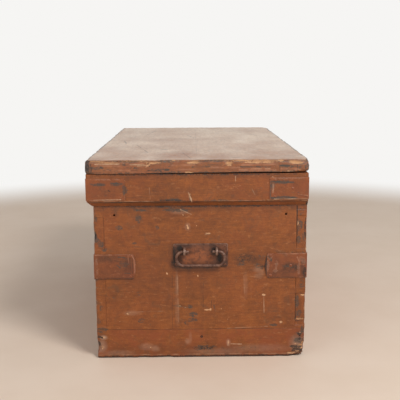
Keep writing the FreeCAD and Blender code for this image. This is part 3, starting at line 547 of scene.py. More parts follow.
END_BARE = (
    (16, 287, 8, 2, 0.7), (141, 146, 4, 2, 1.2), (180, 82, 3, 3, 1.4), (229, 145, 5, 2, 1.4),
    (-164, 105, 5, 4, 0.5), (-48, 121, 4, 2, 0.8), (-34, 118, 5, 1.5, 0.7), (222, 89, 12, 2, 0.9),
    (226, 26, 7, 2, 1), (221, 17, 9, 1.5, 1), (215, 9, 9, 1.5, 1), (-190, 12, 20, 4, 0.35),
    (233, 250, 2, 30, 0.5), (233, 110, 2, 14, 0.6), (-232, 130, 2, 30, 0.4), (200, 8, 8, 2, 1),
    (231, 32, 3, 4, 1),
)
END_NICKS = (
    (-27, 301, 2, 3, 1.3), (-29, 306, 1.2, 1.6, 1.2), (16, 288, 6, 1.6, 0.9), (-75, 197, 1.3, 1.8, 1.8),
    (-6, 191, 1.3, 2, 1.2), (14, 112, 5, 1.4, 1.7), (22, 113, 2, 2.6, 1.2), (46, 114, 1.6, 1.2, 0.9),
    (141, 146, 3.4, 1.3, 1.4), (180, 82, 2, 2, 1.3), (229, 145, 4, 1.2, 1.4), (-164, 105, 4, 2.4, 0.6),
    (214, 310, 1.1, 4.5, 1.6), (-219, 49, 4, 2, 0.8), (-222, 26, 4, 5, 0.6), (-110, 25, 8, 3, 0.5),
    (-38, 330, 1.4, 1.4, 0.9), (62, 34, 1.6, 3.4, 0.8), (130, 204, 5, 3, 0.5), (215, 30, 3, 1.6, 1),
    (229, 19, 3, 2, 1.1), (206, 7, 6, 1.3, 1.1), (224, 57, 2.4, 1.4, 0.9), (-8, 305, 1.2, 1.2, 0.9),
    (219, 12, 5, 1.2, 1.1),
)
END_DUST = (
    (-224, 28, 9, 12, 0.34), (-122, 26, 13, 7, 0.2), (-104, 22, 8, 6, 0.2), (-30, 38, 5, 6, 0.22),
    (-24, 46, 3, 12, 0.14), (-190, 12, 30, 5, 0.16), (128, 205, 9, 6, 0.18), (134, 198, 6, 8, 0.16),
    (129, 190, 8, 5, 0.14), (62, 34, 4, 7, 0.3), (-220, 49, 7, 4, 0.5), (-53, 170, 3, 26, 0.14),
    (-53, 112, 4, 30, 0.1), (100, 170, 4, 24, 0.1), (-155, 106, 14, 5, 0.16), (-28, 303, 5, 7, 0.2),
    (-46, 336, 16, 4, 0.16), (218, 30, 14, 16, 0.3), (130, 20, 60, 8, 0.14), (40, 14, 60, 6, 0.14),
)
END_SLATE = (
    (-136, 322, 6, 9, 1), (-178, 302, 8, 5, 0.8), (-95, 301, 4, 4, 0.9), (-131, 341, 18, 3, 0.8),
    (-50, 341, 30, 4, 0.85), (-24, 120, 5, 4, 1.2), (-16, 101, 9, 6, 0.9), (-20, 88, 14, 5, 0.75),
    (-32, 82, 7, 6, 0.8), (-133, 88, 9, 7, 0.55), (162, 75, 9, 3, 0.9), (-140, 150, 9, 9, 0.5),
    (30, 120, 2, 9, 0.6), (-110, 240, 8, 5, 0.4), (205, 240, 10, 12, 0.4), (-233, 282, 5, 10, 1.2),
    (-227, 273, 9, 4, 1), (-219, 264, 6, 7, 1.2), (-212, 253, 6, 4, 0.9), (-229, 322, 4, 12, 0.6),
    (-145, 267, 6, 3, 0.7), (-222, 118, 5, 9, 0.6), (-222, 66, 12, 6, 0.8), (-229, 88, 5, 8, 0.7),
    (8, 24, 28, 5, 0.7), (-4, 18, 20, 3, 0.6), (90, 218, 14, 5, 0.5), (140, 238, 20, 8, 0.4),
    (222, 336, 9, 9, 0.6), (218, 306, 7, 14, 0.8), (228, 282, 5, 12, 0.7), (216, 272, 5, 8, 0.9),
    (215, 128, 5, 16, 0.9), (219, 102, 7, 10, 0.8), (230, 62, 5, 10, 0.8), (-118, 78, 9, 5, 0.45),
    (100, 230, 30, 12, 0.38), (128, 214, 12, 6, 0.6), (222, 38, 12, 6, 0.8), (224, 56, 10, 5, 0.7),
    (-195, 140, 8, 6, 0.4), (120, 20, 30, 5, 0.4), (225, 170, 6, 14, 0.6), (226, 232, 5, 20, 0.6),
)
# The long mark just under the band paints the band's shadow.
END_GRIME_AND_SHADE = (
    (100, 230, 34, 14, 0.3), (140, 212, 12, 8, 0.4), (7, 22, 30, 5, 0.4), (222, 16, 16, 8, 0.7),
    (-231, 34, 4, 6, 0.8), (-234, 282, 3, 9, 1), (0, 350, 240, 4, 0.55), (-228, 50, 4, 2, 1.2),
    (222, 53, 3, 2.5, 1.4), (223, 42, 3, 2.5, 1.4), (2, 49, 2, 2.5, 1.4), (231, 300, 3, 22, 0.5),
    (210, 24, 10, 2, 0.9), (226, 22, 6, 1.5, 1),
)
# The marks just under the band, under the handle plate and along the plate's left edge paint shadows.
END_STAIN_AND_SHADE = (
    (-110, 150, 120, 90, 0.14), (0, 346, 240, 8, 0.4), (-4, 210.5, 56, 3.5, 1.3), (-8, 206, 62, 5, 0.7),
    (-62.5, 234, 2.5, 24, 1.3), (-66, 230, 5, 24, 0.6), (108, 228, 40, 14, 0.4), (-72, 126, 8, 60, 0.28),
    (0, 14, 240, 16, 0.3), (222, 30, 18, 30, 0.4), (-40, 100, 80, 30, 0.15), (-225, 30, 14, 30, 0.35),
    (2, 120, 4, 56, 0.3),
)
END_NOTCHES = (
    (-234, 282, 7, 9, 0.9), (-234, 26, 9, 8, 0.9), (234, 143, 6, 5, 0.5), (234, 84, 9, 4, 0.7),
    (234, 306, 5, 14, 0.4), (-234, 95, 5, 6, 0.4), (-234, 332, 5, 10, 0.4), (234, 58, 6, 6, 0.5),
)
painted_across = painted_softwood("painted_softwood_across", ALONG_Y, 0.4)
painted_along = painted_softwood("painted_softwood_along", ALONG_X, 0.4)


def creased(mesh):
    """1 at each vertex on an upright sharp edge, a share of it on a level one, and 0 elsewhere."""
    values = []
    for vert in mesh.verts:
        sharp = [*filter(is_sharp, vert.link_edges)]
        rises = [abs(edge.verts[0].co.z - edge.verts[1].co.z) > edge.calc_length() / 2 for edge in sharp]
        values.append(1.0 if any(rises) else LEVEL_JOINT_SHARE * bool(sharp))
    return np.array(values)


def carcass_board(node, material):
    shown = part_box(node)[1].x > end_x - board_skin
    mesh = net_of(node, BOARD_NET, END_NET if shown else None)
    places, outward = places_of(mesh), facing_of(mesh)
    low, high = np.array((-end_x, front_y, 0)), np.array((end_x, back_y, NO_EDGE))
    from_edge = from_box_edge(places, low, high)
    skin = np.minimum(places - low, high - places).min(axis=1) < board_skin
    face = places[:, 0] > end_x - board_skin
    joint = creased(mesh) * skin * (from_edge > JOINT_INSET)
    joint *= np.where(face & (places[:, 1] < middle_y), LEVEL_JOINT_SHARE, 1.0)
    broken = np.linalg.norm((places - np.array((end_x, back_y, 0))) * (1, 1, 0.7), axis=1)
    layered = mottle(places * (1, 1, 3), 14, 5)
    radius = RUBBED_RADIUS + KNOCKED_RADIUS * 3 * np.clip(mottle(places, 32, 1, 4) - 0.54, 0, 1)
    radius += FOOT_WEAR * fading(places[:, 2], 14) * np.clip(mottle(places, 40, 19) * 2 - 0.5, 0.3, 1)
    radius += BROKEN_RADIUS * np.clip(1.4 - broken / BROKEN_REACH, 0, 1) * (0.4 + 1.2 * layered)
    radius += NOTCH_RADIUS * face * patches(places, END_NOTCHES)
    bare = fading(from_edge, 3) * (0.1 + 0.8 * mottle(places, 38, 3))
    slate = fading(from_edge, 10) * (0.05 + 0.75 * mottle(places, 50, 4))
    bare = marked(bare, places, face, END_BARE)
    slate = marked(slate, places, face, END_SLATE)
    # Painted shade: the grime near the floor paints a contact shadow along the foot. The stain makes the
    # boards darker towards the bottom.
    grime = marked(1.6 * fading(places[:, 2], 3.2), places, face, END_GRIME_AND_SHADE)
    nick = face * patches(places, END_NICKS)
    stain = marked(0.35 * fading(places[:, 2], 20), places, face, END_STAIN_AND_SHADE)
    dust = face * patches(places, END_DUST)
    unseen = skin & ~face
    slate = np.maximum(slate, unseen * np.clip(6 * mottle(places, 40, 25, 4) - 4.5, 0, 0.8))
    stain = np.maximum(stain, unseen * 0.45 * np.clip(3 * mottle(places, 150, 27, 4) - 1.5, 0, 1))
    dust = np.maximum(dust, unseen * 0.4 * mottle(places, 70, 28, 4) * fading(places[:, 2], 50))
    dip = skin * (FACE_DIP * mottle(places, 30, 2) + CHIP_DIP * np.clip(2 * bare - 1, 0, 1))
    dip += JOINT_DIP * joint * mottle(places, 25, 6)
    grime = np.maximum(grime, joint * (0.1 + 0.6 * mottle(places, 60, 7)))
    in_length = np.abs(places[:, 0]) < end_x - board / 2
    in_depth = np.abs(places[:, 1] - middle_y) < (back_y - front_y) / 2 - board / 2
    move_to(mesh, rounded(places - outward * dip[:, None], low, high, radius))
    finished(
        f"worn_{node}", mesh, "carcass", material, "painted_softwood", [node],
        bare=bare, slate=slate, grime=grime, stain=stain, nick=nick, dust=dust, raw=in_length & in_depth,
    )


end_scores, side_scores = END_SCORES + CORNER_SCORES + LEFT_SCORES, SIDE_SCORES + CORNER_SCORES
for course, red in (("upper", 0.3), ("lower", 0.75)):
    end_paint = painted_softwood(f"painted_softwood_{course}_ends", ALONG_Y, red, end_scores)
    side_paint = painted_softwood(f"painted_softwood_{course}_sides", ALONG_X, red, side_scores)
    carcass_board(f"right_end_{course}_board", end_paint)
    carcass_board(f"left_end_{course}_board", end_paint)
    carcass_board(f"front_{course}_board", side_paint)
    carcass_board(f"back_{course}_board", side_paint)

# Bottom
# Three long bare softwood boards lie on three cross battens, and square brads through the lower course
# hold them up. They are sawn, never painted, and have darkened with age.
BOTTOM_ROUND = 1.0 * MM
BOTTOM_NET = 40 * MM
SAWN_RELIEF = (0.4, 0.0008)


def bare_softwood(name, stretch):
    material, tree, shader, place = new_material(name)
    wood = group(tree, softwood_grain, Place=place, Stretch=stretch)
    stains = ramp(tree, cloud(tree, place, 14, 5, 0.6), 0.42, 0.72, 0.12, 0.6)
    colour = blend_colour(tree, stains, wood["Color"], srgb(104, 76, 52))
    surface(tree, shader, colour, ramp(tree, wood["Line"], 0.2, 0.9, 0.72, 0.88), wood["Line"], SAWN_RELIEF)
    return material


def bottom_piece(node, material):
    mesh = net_of(node, BOTTOM_NET)
    places = places_of(mesh)
    low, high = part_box(node)
    move_to(mesh, rounded(places, low, high, BOTTOM_ROUND * (0.5 + mottle(places, 30, 8))))
    finished(f"worn_{node}", mesh, "carcass", material, "bare_softwood", [node])


bare_along = bare_softwood("bare_softwood_along", ALONG_X)
bare_across = bare_softwood("bare_softwood_across", ALONG_Y)
for row in ("front", "middle", "back"):
    bottom_piece(f"bottom_{row}_board", bare_along)
for row in ("left", "middle", "right"):
    bottom_piece(f"bottom_{row}_batten", bare_across)

# Corner straps
# Flat wrought iron straps with rounded ends are bent round the upright corners and nailed. They were
# painted over with the chest; the paint is rubbed thin on the edges and rust shows through.
STRAP_NET = 3 * MM
STRAP_ROUND = 1.2 * MM
IRON_DENT = 0.5 * MM
# The rubbed paint colour also paints highlights on the straps' top edges and on the left strap's inner end.
RUBBED_PAINT_AND_HIGHLIGHT = srgb(168, 118, 90)
PAINTED_IRON_RELIEF = (0.5, 0.0005)


def make_iron_skin():
    """Old wrought iron: brown rust in uneven clouds, darker scale and greyer rubbed places."""
    tree, given, result = new_group(
        "iron_skin",
        {"Place": VECTOR, "Rubbed": FLOAT},
        {"Color": COLOUR, "Roughness": FLOAT, "Height": FLOAT},
    )
    place = given["Place"]
    clouds, pits = cloud(tree, place, 90, 5, 0.65, 0.5), cloud(tree, place, 800, 3, 0.6)
    value = weighted(tree, (clouds, 0.75), (pits, 0.3))
    colour = colour_ramp(
        tree, value, (0.36, srgb(58, 38, 30)), (0.72, srgb(132, 80, 54)), (0.54, srgb(94, 60, 45))
    )
    worn = combine(tree, "ADD", given["Rubbed"], combine(tree, "SUBTRACT", clouds, 0.55))
    shine = ramp(tree, worn, 0.2, 0.75, 0.0, 0.75)
    tree.links.new(blend_colour(tree, shine, colour, srgb(150, 122, 106)), result["Color"])
    roughness = weighted(tree, (ramp(tree, pits, 0.3, 0.7, 0.5, 0.7), 1.0), (shine, -0.34))
    tree.links.new(roughness, result["Roughness"])
    tree.links.new(value, result["Height"])
    return tree


iron_skin = make_iron_skin()


def painted_iron_finish(name, rusty, scores=()):
    """The chest's paint over iron, rubbed through to rust on the edges, with painted shade and highlights."""
    material, tree, shader, place = new_material(name)
    paint = group(tree, brushed_paint, Place=place, Stretch=EVEN, Red=0.6)
    iron = group(tree, iron_skin, Place=place, Rubbed=0.1)
    chipped, dirt_and_shade = flaked(tree, place, "bare"), flaked(tree, place, "grime")
    older = flaked(tree, place, "slate", (1, 0.4, 1))
    uneven = ramp(tree, cloud(tree, place, 70, 5, 0.65, 0.6), 0.34, 0.66, 0.3, 1.0)
    patchy = ramp(tree, cloud(tree, place, 330, 4, 0.65), 0.36, 0.6, 0.45, 0.9)
    colour = blend_colour(tree, rusty, paint["Color"], srgb(112, 54, 38))
    # The stain and grime layers also lay painted shade on the straps.
    colour = overlaid(
        tree, colour, (attribute(tree, "stain"), uneven, STAIN_AND_SHADE), (older["Flake"], patchy, SLATE),
        (chipped["Rim"], 0.5, RUBBED_PAINT_AND_HIGHLIGHT), (chipped["Flake"], 0.6, iron["Color"]),
        (dirt_and_shade["Rim"], 0.75, GRIME_AND_SHADE),
    )
    roughness = ramp(tree, paint["Sheen"], 0.3, 0.7, 0.38, 0.55)
    height = weighted(tree, (paint["Height"], 0.8), (iron["Height"], 1.0), (chipped["Flake"], -0.6))
    surface(tree, shader, scored(tree, colour, place, scores), roughness, height, PAINTED_IRON_RELIEF)
    return material


def iron_piece(node, body, material, slot, net, edge_round, dent, marks=None, rubbed=0.0):
    """A forged copy of a node: edges rounded over, faces hammered a little uneven."""
    mesh = merged_copy(node)
    points = sharp_points(mesh)
    sharp = [*filter(is_sharp, mesh.edges)]
    bmesh.ops.bevel(
        mesh, geom=sharp, offset=edge_round, offset_type="OFFSET", affect="EDGES", segments=2, profile=0.5,
        material=-1, clamp_overlap=True,
    )
    if net:
        low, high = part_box(node)
        for axis in range(3):
            count = int((high[axis] - low[axis]) / net)
            step = (high[axis] - low[axis]) / (count + 1)
            cut_across(mesh, axis, [low[axis] + step * (index + 1) for index in range(count)])
    places, outward = places_of(mesh), facing_of(mesh)
    on_an_end = np.abs(places[:, 0]) > end_x
    edge_wear = fading(from_points(places, points), 1.6) * (0.2 + 0.8 * mottle(places, 20, 9))
    # On the handles' eyes and bail the pale rubbing also paints highlights.
    masks = {"bare": np.maximum(edge_wear, rubbed * (0.5 + 0.5 * mottle(places, 15, 20)))}
    for mask, spots in (marks or {}).items():
        masks[mask] = marked(masks.get(mask, 0), places, on_an_end, spots)
    move_to(mesh, places - outward * (dent * mottle(places, 12, 10))[:, None])
    finished(f"worn_{node}", mesh, body, material, slot, [node], **masks)


def kept_node(node, material):
    """A CAD node that keeps its shape and only gets a finish."""
    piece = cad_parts[node]
    if not piece.data.materials:
        piece.data.materials.append(material)
    for holder in piece.material_slots:
        holder.material = material


STRAP_OUT = 2.0
# Pale lines along the straps' top edges and a pale crescent at the left strap's inner end paint highlights,
# and the dark line at the right strap's inner end paints shade.
STRAP_SCORES_AND_PAINTED_LIGHT = on_end(
    (-152, 240, -147, 230, 0.9, 0.8, RUBBED_PAINT_AND_HIGHLIGHT), (-147, 230, -146, 200, 0.9, 0.8, RUBBED_PAINT_AND_HIGHLIGHT),
    (-151, 234, -151, 198, 0.9, 0.8, STAIN_AND_SHADE), (-156, 238, -155, 206, 1, 0.7, STAIN_AND_SHADE),
    (-160, 240, -159, 222, 0.8, 0.4, RUBBED_PAINT_AND_HIGHLIGHT), (-233, 241, -196, 241, 1.2, 0.6, RUBBED_PAINT_AND_HIGHLIGHT),
    (-180, 198, -198, 197, 0.8, 0.5, RUBBED_PAINT_AND_HIGHLIGHT), (-182, 193, -199, 193, 0.8, 0.4, RUBBED_PAINT_AND_HIGHLIGHT),
    (-182, 236, -168, 235, 1.4, 0.9, SLATE), (-185, 218, -178, 212, 1.6, 0.9, SLATE),
    (-168, 199, -156, 199, 1.5, 0.9, SLATE), (-190, 228, -176, 226, 1.2, 0.7, STAIN_AND_SHADE),
    (214, 233, 221, 216, 1.6, 0.6, RUBBED_PAINT_AND_HIGHLIGHT), (188, 240, 230, 241, 1.2, 0.6, RUBBED_PAINT_AND_HIGHLIGHT),
    (146, 238, 144, 192, 1.6, 1, GRIME_AND_SHADE),
    out=STRAP_OUT,
)
# The grime and stain along the straps' lower edges and at the right strap's inner end paint shade.
STRAP_MARKS = {
    "bare": (
        (152, 234, 5, 5, 1), (149, 214, 3, 12, 0.8), (228, 226, 4, 12, 0.6), (-230, 214, 3, 26, 0.5),
        (168, 216, 4, 9, 0.55), (166, 202, 6, 4, 0.5), (218, 206, 3, 14, 0.65), (220, 228, 4, 8, 0.5),
    ),
    "slate": (
        (228, 218, 7, 9, 0.5), (156, 226, 3, 8, 0.6), (196, 211, 22, 5, 0.5), (-168, 224, 14, 14, 0.5),
        (-210, 238, 20, 3, 0.5),
    ),
    "grime": (
        (152, 234, 1.5, 1.5, 1.6), (144, 205, 3, 20, 0.7), (231, 200, 4, 12, 0.6),
        (0, 186.5, 240, 1.2, 0.8),
    ),
    "stain": (
        (198, 209, 18, 9, 1.2), (180, 200, 34, 8, 0.6), (-205, 232, 26, 8, 0.7), (-165, 215, 14, 18, 0.6),
        (170, 214, 8, 20, 0.3), (0, 188, 240, 4, 0.7), (-195, 204, 40, 14, 0.25), (227, 204, 4, 16, 0.9),
    ),
}
strap_paint = painted_iron_finish("painted_iron_straps", 0.3, STRAP_SCORES_AND_PAINTED_LIGHT)
for corner in ("front_right", "front_left", "back_right", "back_left"):
    iron_piece(
        f"corner_strap_{corner}", "carcass", strap_paint, "painted_iron", STRAP_NET, STRAP_ROUND, IRON_DENT,
        STRAP_MARKS,
    )
kept_node("corner_strap_nails", strap_paint)

# Band
# A bevelled softwood moulding is nailed round the rim at the front and both ends, as a dust stop for the
# lid. Thin iron plates, painted with it, hold its corners.
BAND_NET = 10 * MM
BAND_NEAR_NET = 2.6 * MM
PLATE_ROUND = 0.4 * MM
PLATE_DENT = 0.1 * MM
SKIN_DEPTH = 4 * MM
BEVEL_HEIGHT = 11 * MM
BEVEL_CUTS = (-2 * MM, -0.8 * MM, 0.8 * MM, 2 * MM)
BEVEL_CHIP = 1.2 * MM

band_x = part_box("band_right_end")[1].x
band_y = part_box("band_front")[0].y
band_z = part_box("band_right_end")[0].z
bevel_z = band_z + BEVEL_HEIGHT
BAND_BARE = (
    (-22, 372, 2.5, 8, 1), (-19, 364, 2, 5, 1), (-205, 367, 34, 2.5, 0.6), (-60, 363, 30, 1.5, 0.45),
    (60, 363, 40, 1.5, 0.4), (150, 363, 30, 1.5, 0.5), (120, 372, 8, 3, 0.35),
)
BAND_SLATE = (
    (-162, 388, 5, 7, 1.2), (-64, 366, 22, 3, 0.7), (-140, 380, 10, 6, 0.4), (128, 390, 12, 5, 0.5),
    (60, 364, 60, 2, 0.5), (-190, 360, 40, 3, 0.5), (-96, 360, 20, 3, 0.5), (110, 361, 40, 2, 0.5),
)
# The marks at the foot of the bevel and along the band's top paint shade under the band and in the lid gap.
BAND_GRIME_AND_SHADE = (
    (0, 352, 240, 4, 0.6), (0, 420, 240, 2, 0.5), (-60, 364, 30, 1.5, 0.5),
)
BAND_OUT = 12.0
# The pale lines along the bevel's ridge are worn paint and also paint the highlight on that lit edge.
BAND_SCORES_AND_HIGHLIGHT = on_end(
    (-26, 382, -22, 372, 1.3, 1, PALE_AND_HIGHLIGHT), (-22, 372, -18, 361, 1.8, 1, PALE_AND_HIGHLIGHT),
    (-24, 374, -21, 361, 1, 0.8, GRIME_AND_SHADE), (-86, 365, -44, 365, 1.4, 0.9, GRIME_AND_SHADE),
    (-234, 362.5, -100, 362.5, 1, 0.5, PALE_AND_HIGHLIGHT), (20, 362.5, 140, 362.5, 1, 0.45, PALE_AND_HIGHLIGHT),
    (76, 416, 76, 406, 0.9, 0.6, PALE_AND_HIGHLIGHT), (156, 414, 160, 408, 1.4, 0.8, PALE_AND_HIGHLIGHT),
    (-110, 392, -108, 368, 1, 0.3, PALE_AND_HIGHLIGHT), (-74, 398, -73, 372, 1, 0.25, GRIME_AND_SHADE),
    (112, 388, 118, 376, 1.3, 0.5, PALE_AND_HIGHLIGHT), (-160, 372, -110, 371, 0.9, 0.35, STAIN_AND_SHADE),
    (30, 402, 120, 401, 0.9, 0.3, STAIN_AND_SHADE),
    out=BAND_OUT,
)
band_paint = painted_softwood("painted_softwood_band", ALONG_Y, 0.4, BAND_SCORES_AND_HIGHLIGHT)
# The marks over the down-facing bevel and along the band's top paint shade there and in the lid gap.
BAND_STAIN_AND_SHADE = (
    (0, 355, 240, 6, 1.6), (0, 416, 240, 4, 0.3), (-60, 385, 60, 14, 0.18), (90, 378, 50, 8, 0.18),
)


def band_piece(node, material, seen):
    mesh = net_of(node, BAND_NET, BAND_NEAR_NET if seen else None)
    cut_across(mesh, 2, [bevel_z + step for step in BEVEL_CUTS])
    places, outward = places_of(mesh), facing_of(mesh)
    low, high = np.array((-band_x, band_y)), np.array((band_x, back_y))
    skin = np.minimum(places[:, :2] - low, high - places[:, :2]).min(axis=1) < SKIN_DEPTH
    ridge = skin * fading(np.abs(places[:, 2] - bevel_z), 2)
    bare = ridge * (0.1 + 0.55 * mottle(places, 30, 11))
    slate = ridge * (0.1 + 0.5 * mottle(places, 40, 12))
    # Painted shade: darker towards the foot of the bevel, which faces down.
    grime = skin * 0.85 * fading(places[:, 2] - band_z, 4.5)
    stain = skin * patches(places, BAND_STAIN_AND_SHADE)
    if seen:
        face = places[:, 0] > band_x - SKIN_DEPTH
        bare = marked(bare, places, face, BAND_BARE)
        slate = marked(slate, places, face, BAND_SLATE)
        grime = marked(grime, places, face, BAND_GRIME_AND_SHADE)
    dip = skin * (FACE_DIP * mottle(places, 30, 13) + CHIP_DIP * np.clip(2 * bare - 1, 0, 1))
    dip += ridge * BEVEL_CHIP * np.clip(2 * mottle(places, 18, 14) - 0.8, 0, 1)
    move_to(mesh, places - outward * dip[:, None])
    finished(
        f"worn_{node}", mesh, "carcass", material, "painted_softwood", [node],
        bare=bare, slate=slate, grime=grime, stain=stain,
    )


band_piece("band_right_end", band_paint, True)
band_piece("band_left_end", painted_across, False)
band_piece("band_front", painted_along, False)
kept_node("band_brads", painted_across)
PLATE_OUT = 13.1
# The pale lines along the plates' lower edges paint highlights.
PLATE_SCORES_AND_HIGHLIGHT = on_end(
    (-236, 402, -204, 399, 1.6, 0.8, SLATE), (-192, 403, -166, 401, 2, 0.8, SLATE),
    (-238, 366, -172, 367, 1.3, 0.9, PALE_AND_HIGHLIGHT), (150, 404, 201, 402, 2, 1, SLATE),
    (154, 368, 210, 369, 2.2, 1, SLATE), (160, 365.5, 240, 366, 1.2, 0.9, PALE_AND_HIGHLIGHT),
    (210, 374, 236, 369, 1.3, 1, GRIME_AND_SHADE), (212, 376, 232, 373, 1, 0.8, PALE_AND_HIGHLIGHT),
    (158, 398, 157, 380, 1.2, 0.45, PALE_AND_HIGHLIGHT), (152, 408, 152, 368, 1.2, 0.7, SLATE),
    out=PLATE_OUT,
)
PLATE_MARKS = {
    "bare": ((157, 392, 2, 8, 0.8), (190, 410, 30, 1.5, 0.5), (-200, 410, 34, 1.5, 0.4)),
    "slate": (
        (-219, 400, 16, 3, 0.9), (-179, 401, 13, 3.5, 1), (175, 403, 28, 3.5, 1), (180, 369, 30, 3, 1),
        (-164, 386, 4, 12, 0.9), (205, 380, 14, 2, 0.6), (156, 398, 5, 8, 0.9), (-200, 376, 9, 3, 0.5),
    ),
    "grime": (
        (-162, 390, 1.5, 25, 0.4), (152, 388, 1.5, 25, 0.45), (-196, 385, 1.6, 1.6, 1.4),
        (-200, 363, 40, 2, 0.4),
    ),
    "stain": ((-205, 388, 34, 16, 0.2), (190, 385, 36, 14, 0.1), (200, 364, 44, 3, 0.5)),
}
plate_paint = painted_iron_finish("painted_iron_plates", 0.08, PLATE_SCORES_AND_HIGHLIGHT)
for corner in ("front_right", "front_left", "back_right", "back_left"):
    iron_piece(
        f"band_plate_{corner}", "carcass", plate_paint, "painted_iron", STRAP_NET, PLATE_ROUND, PLATE_DENT,
        PLATE_MARKS,
    )
kept_node("band_plate_tacks", plate_paint)

# Handles
# On each end an iron plate is tacked on, and a forged bail swings in two eyes riveted through it. Hands
# have rubbed the bail brighter than the plate, which is brown with old rust. The pale rubbing on the bail
# and eyes also paints their highlights, and painted shadows lie round the eyes, under the bail and beside
# the plate.
PLATE_NET = 2.5 * MM
HANDLE_ROUND = 0.8 * MM
EYE_ROUND = 0.7 * MM
HAMMERED = 0.4 * MM
# The rubbing of the eyes and bail is real wear and also paints their highlights.
RUBBED_AND_HIGHLIT_EYES, RUBBED_AND_HIGHLIT_BAIL = 0.85, 0.52
RUST = srgb(150, 86, 50)
IRON_RELIEF = (0.6, 0.0007)
IRON_METAL = 0.25
# The grime and stain marks paint shadows round the eyes, under the bail and along the plate's left edge.
HANDLE_MARKS = {
    "rust": ((-4, 238, 36, 16, 0.9), (-34, 226, 16, 7, 0.8), (8, 252, 22, 5, 0.5), (50, 255, 8, 6, 0.4)),
    "grime": ((-46, 256, 5, 6, 0.7), (29, 250, 4, 6, 0.7), (42, 233, 4, 9, 0.7), (-59, 236, 2, 26, 0.6)),
    "stain": (
        (-46, 254, 7, 9, 0.9), (-38, 243, 9, 4, 0.9), (28, 249, 7, 9, 0.9), (41, 233, 7, 10, 1),
        (34, 243, 12, 3, 0.9), (0, 213, 52, 3, 1), (-56, 232, 4, 22, 0.9), (-46, 228, 6, 8, 0.7),
        (-22, 245, 9, 3, 0.6), (50, 220, 8, 6, 0.6),
    ),
}


def worn_iron_finish():
    material, tree, shader, place = new_material("worn_iron")
    iron = group(tree, iron_skin, Place=place, Rubbed=attribute(tree, "bare"))
    bloom = ramp(tree, cloud(tree, place, 130, 5, 0.65, 0.6), 0.36, 0.62, 0.25, 1.0)
    # On the handles the stain and grime attributes paint shadows, in the grime colour.
    colour = overlaid(
        tree, iron["Color"], (attribute(tree, "rust"), bloom, RUST), (attribute(tree, "stain"), 0.85, GRIME_AND_SHADE),
        (flaked(tree, place, "grime")["Rim"], 0.85, GRIME_AND_SHADE),
    )
    shader.inputs["Metallic"].default_value = IRON_METAL
    surface(tree, shader, colour, iron["Roughness"], iron["Height"], IRON_RELIEF)
    return material


worn_iron = worn_iron_finish()


def worn_piece(node, body, net, edge_round, dent, marks=None, rubbed=0.0):
    """A forged copy of a node in bare, worn iron."""
    iron_piece(node, body, worn_iron, "worn_iron", net, edge_round, dent, marks, rubbed)


for side in ("right", "left"):
    worn_piece(f"handle_{side}_plate", "carcass", PLATE_NET, HANDLE_ROUND, HAMMERED, HANDLE_MARKS)
    worn_piece(f"handle_{side}_eyes", "carcass", None, EYE_ROUND, HAMMERED, rubbed=RUBBED_AND_HIGHLIT_EYES)
    worn_piece(f"handle_{side}_bail", f"{side}_bail", None, EYE_ROUND, HAMMERED, rubbed=RUBBED_AND_HIGHLIT_BAIL)
kept_node("handle_tacks", worn_iron)
kept_node("bottom_brads", worn_iron)

# Lock
# A chest lock of sheet iron is let into the front from inside, its keeper is screwed under the lid, and a
# keyhole plate is tacked on the band.
LOCK_ROUND = 0.3 * MM
LOCK_DENT = 0.05 * MM
for node in ("lock_case", "lock_cover", "keyhole_plate"):
    worn_piece(node, "carcass", None, LOCK_ROUND, LOCK_DENT)
worn_piece("lock_bolt", "lock_bolt", None, LOCK_ROUND, LOCK_DENT)
worn_piece("lock_keeper", "lid", None, LOCK_ROUND, LOCK_DENT)
for node in ("keyhole_tacks", "lock_screws", "keeper_screws"):
    kept_node(node, worn_iron)

# Hinges
# Two iron butt hinges are let into the back and the lid and screwed. A heel on the lid's knuckles stops
# the lid just past upright.
for side in ("right", "left"):
    worn_piece(f"hinge_{side}_body_leaf", "carcass", None, LOCK_ROUND, LOCK_DENT)
    worn_piece(f"hinge_{side}_lid_leaf", "lid", None, LOCK_ROUND, LOCK_DENT)
    kept_node(f"hinge_{side}_pin", worn_iron)
kept_node("hinge_body_screws", worn_iron)
kept_node("hinge_lid_screws", worn_iron)

# Lid
# Two long softwood boards are tongued into a cleat across each end, and the edges are rounded over. Long
# use has rubbed the top edge to bare wood, and the paint on top is dull with dust and scuffs. The pale dust
# colour on top also paints the sheen of the surround reflected at a low angle.
LID_NET = 9 * MM
LID_NEAR_NET = 2.2 * MM
LID_WEAR = 3.0 * MM
LID_ROUND = 6 * MM
LID_LOW_SIDE, LID_HIGH_SIDE = -0.9 * MM, 1.6 * MM
LONG_EDGE = 12 * MM
LID_FACE_DEPTH = 8 * MM
UNDER_REACH = 6 * MM
UNDER_DEPTH, UNDER_INSET = 0.5 * MM, 14 * MM
HANDLED_FROM, HANDLED_OVER = 40 * MM, 260 * MM
LID_CORNERS = ((1, 1, 19 * MM), (1, -1, 14 * MM), (-1, 1, 24 * MM), (-1, -1, 7 * MM))

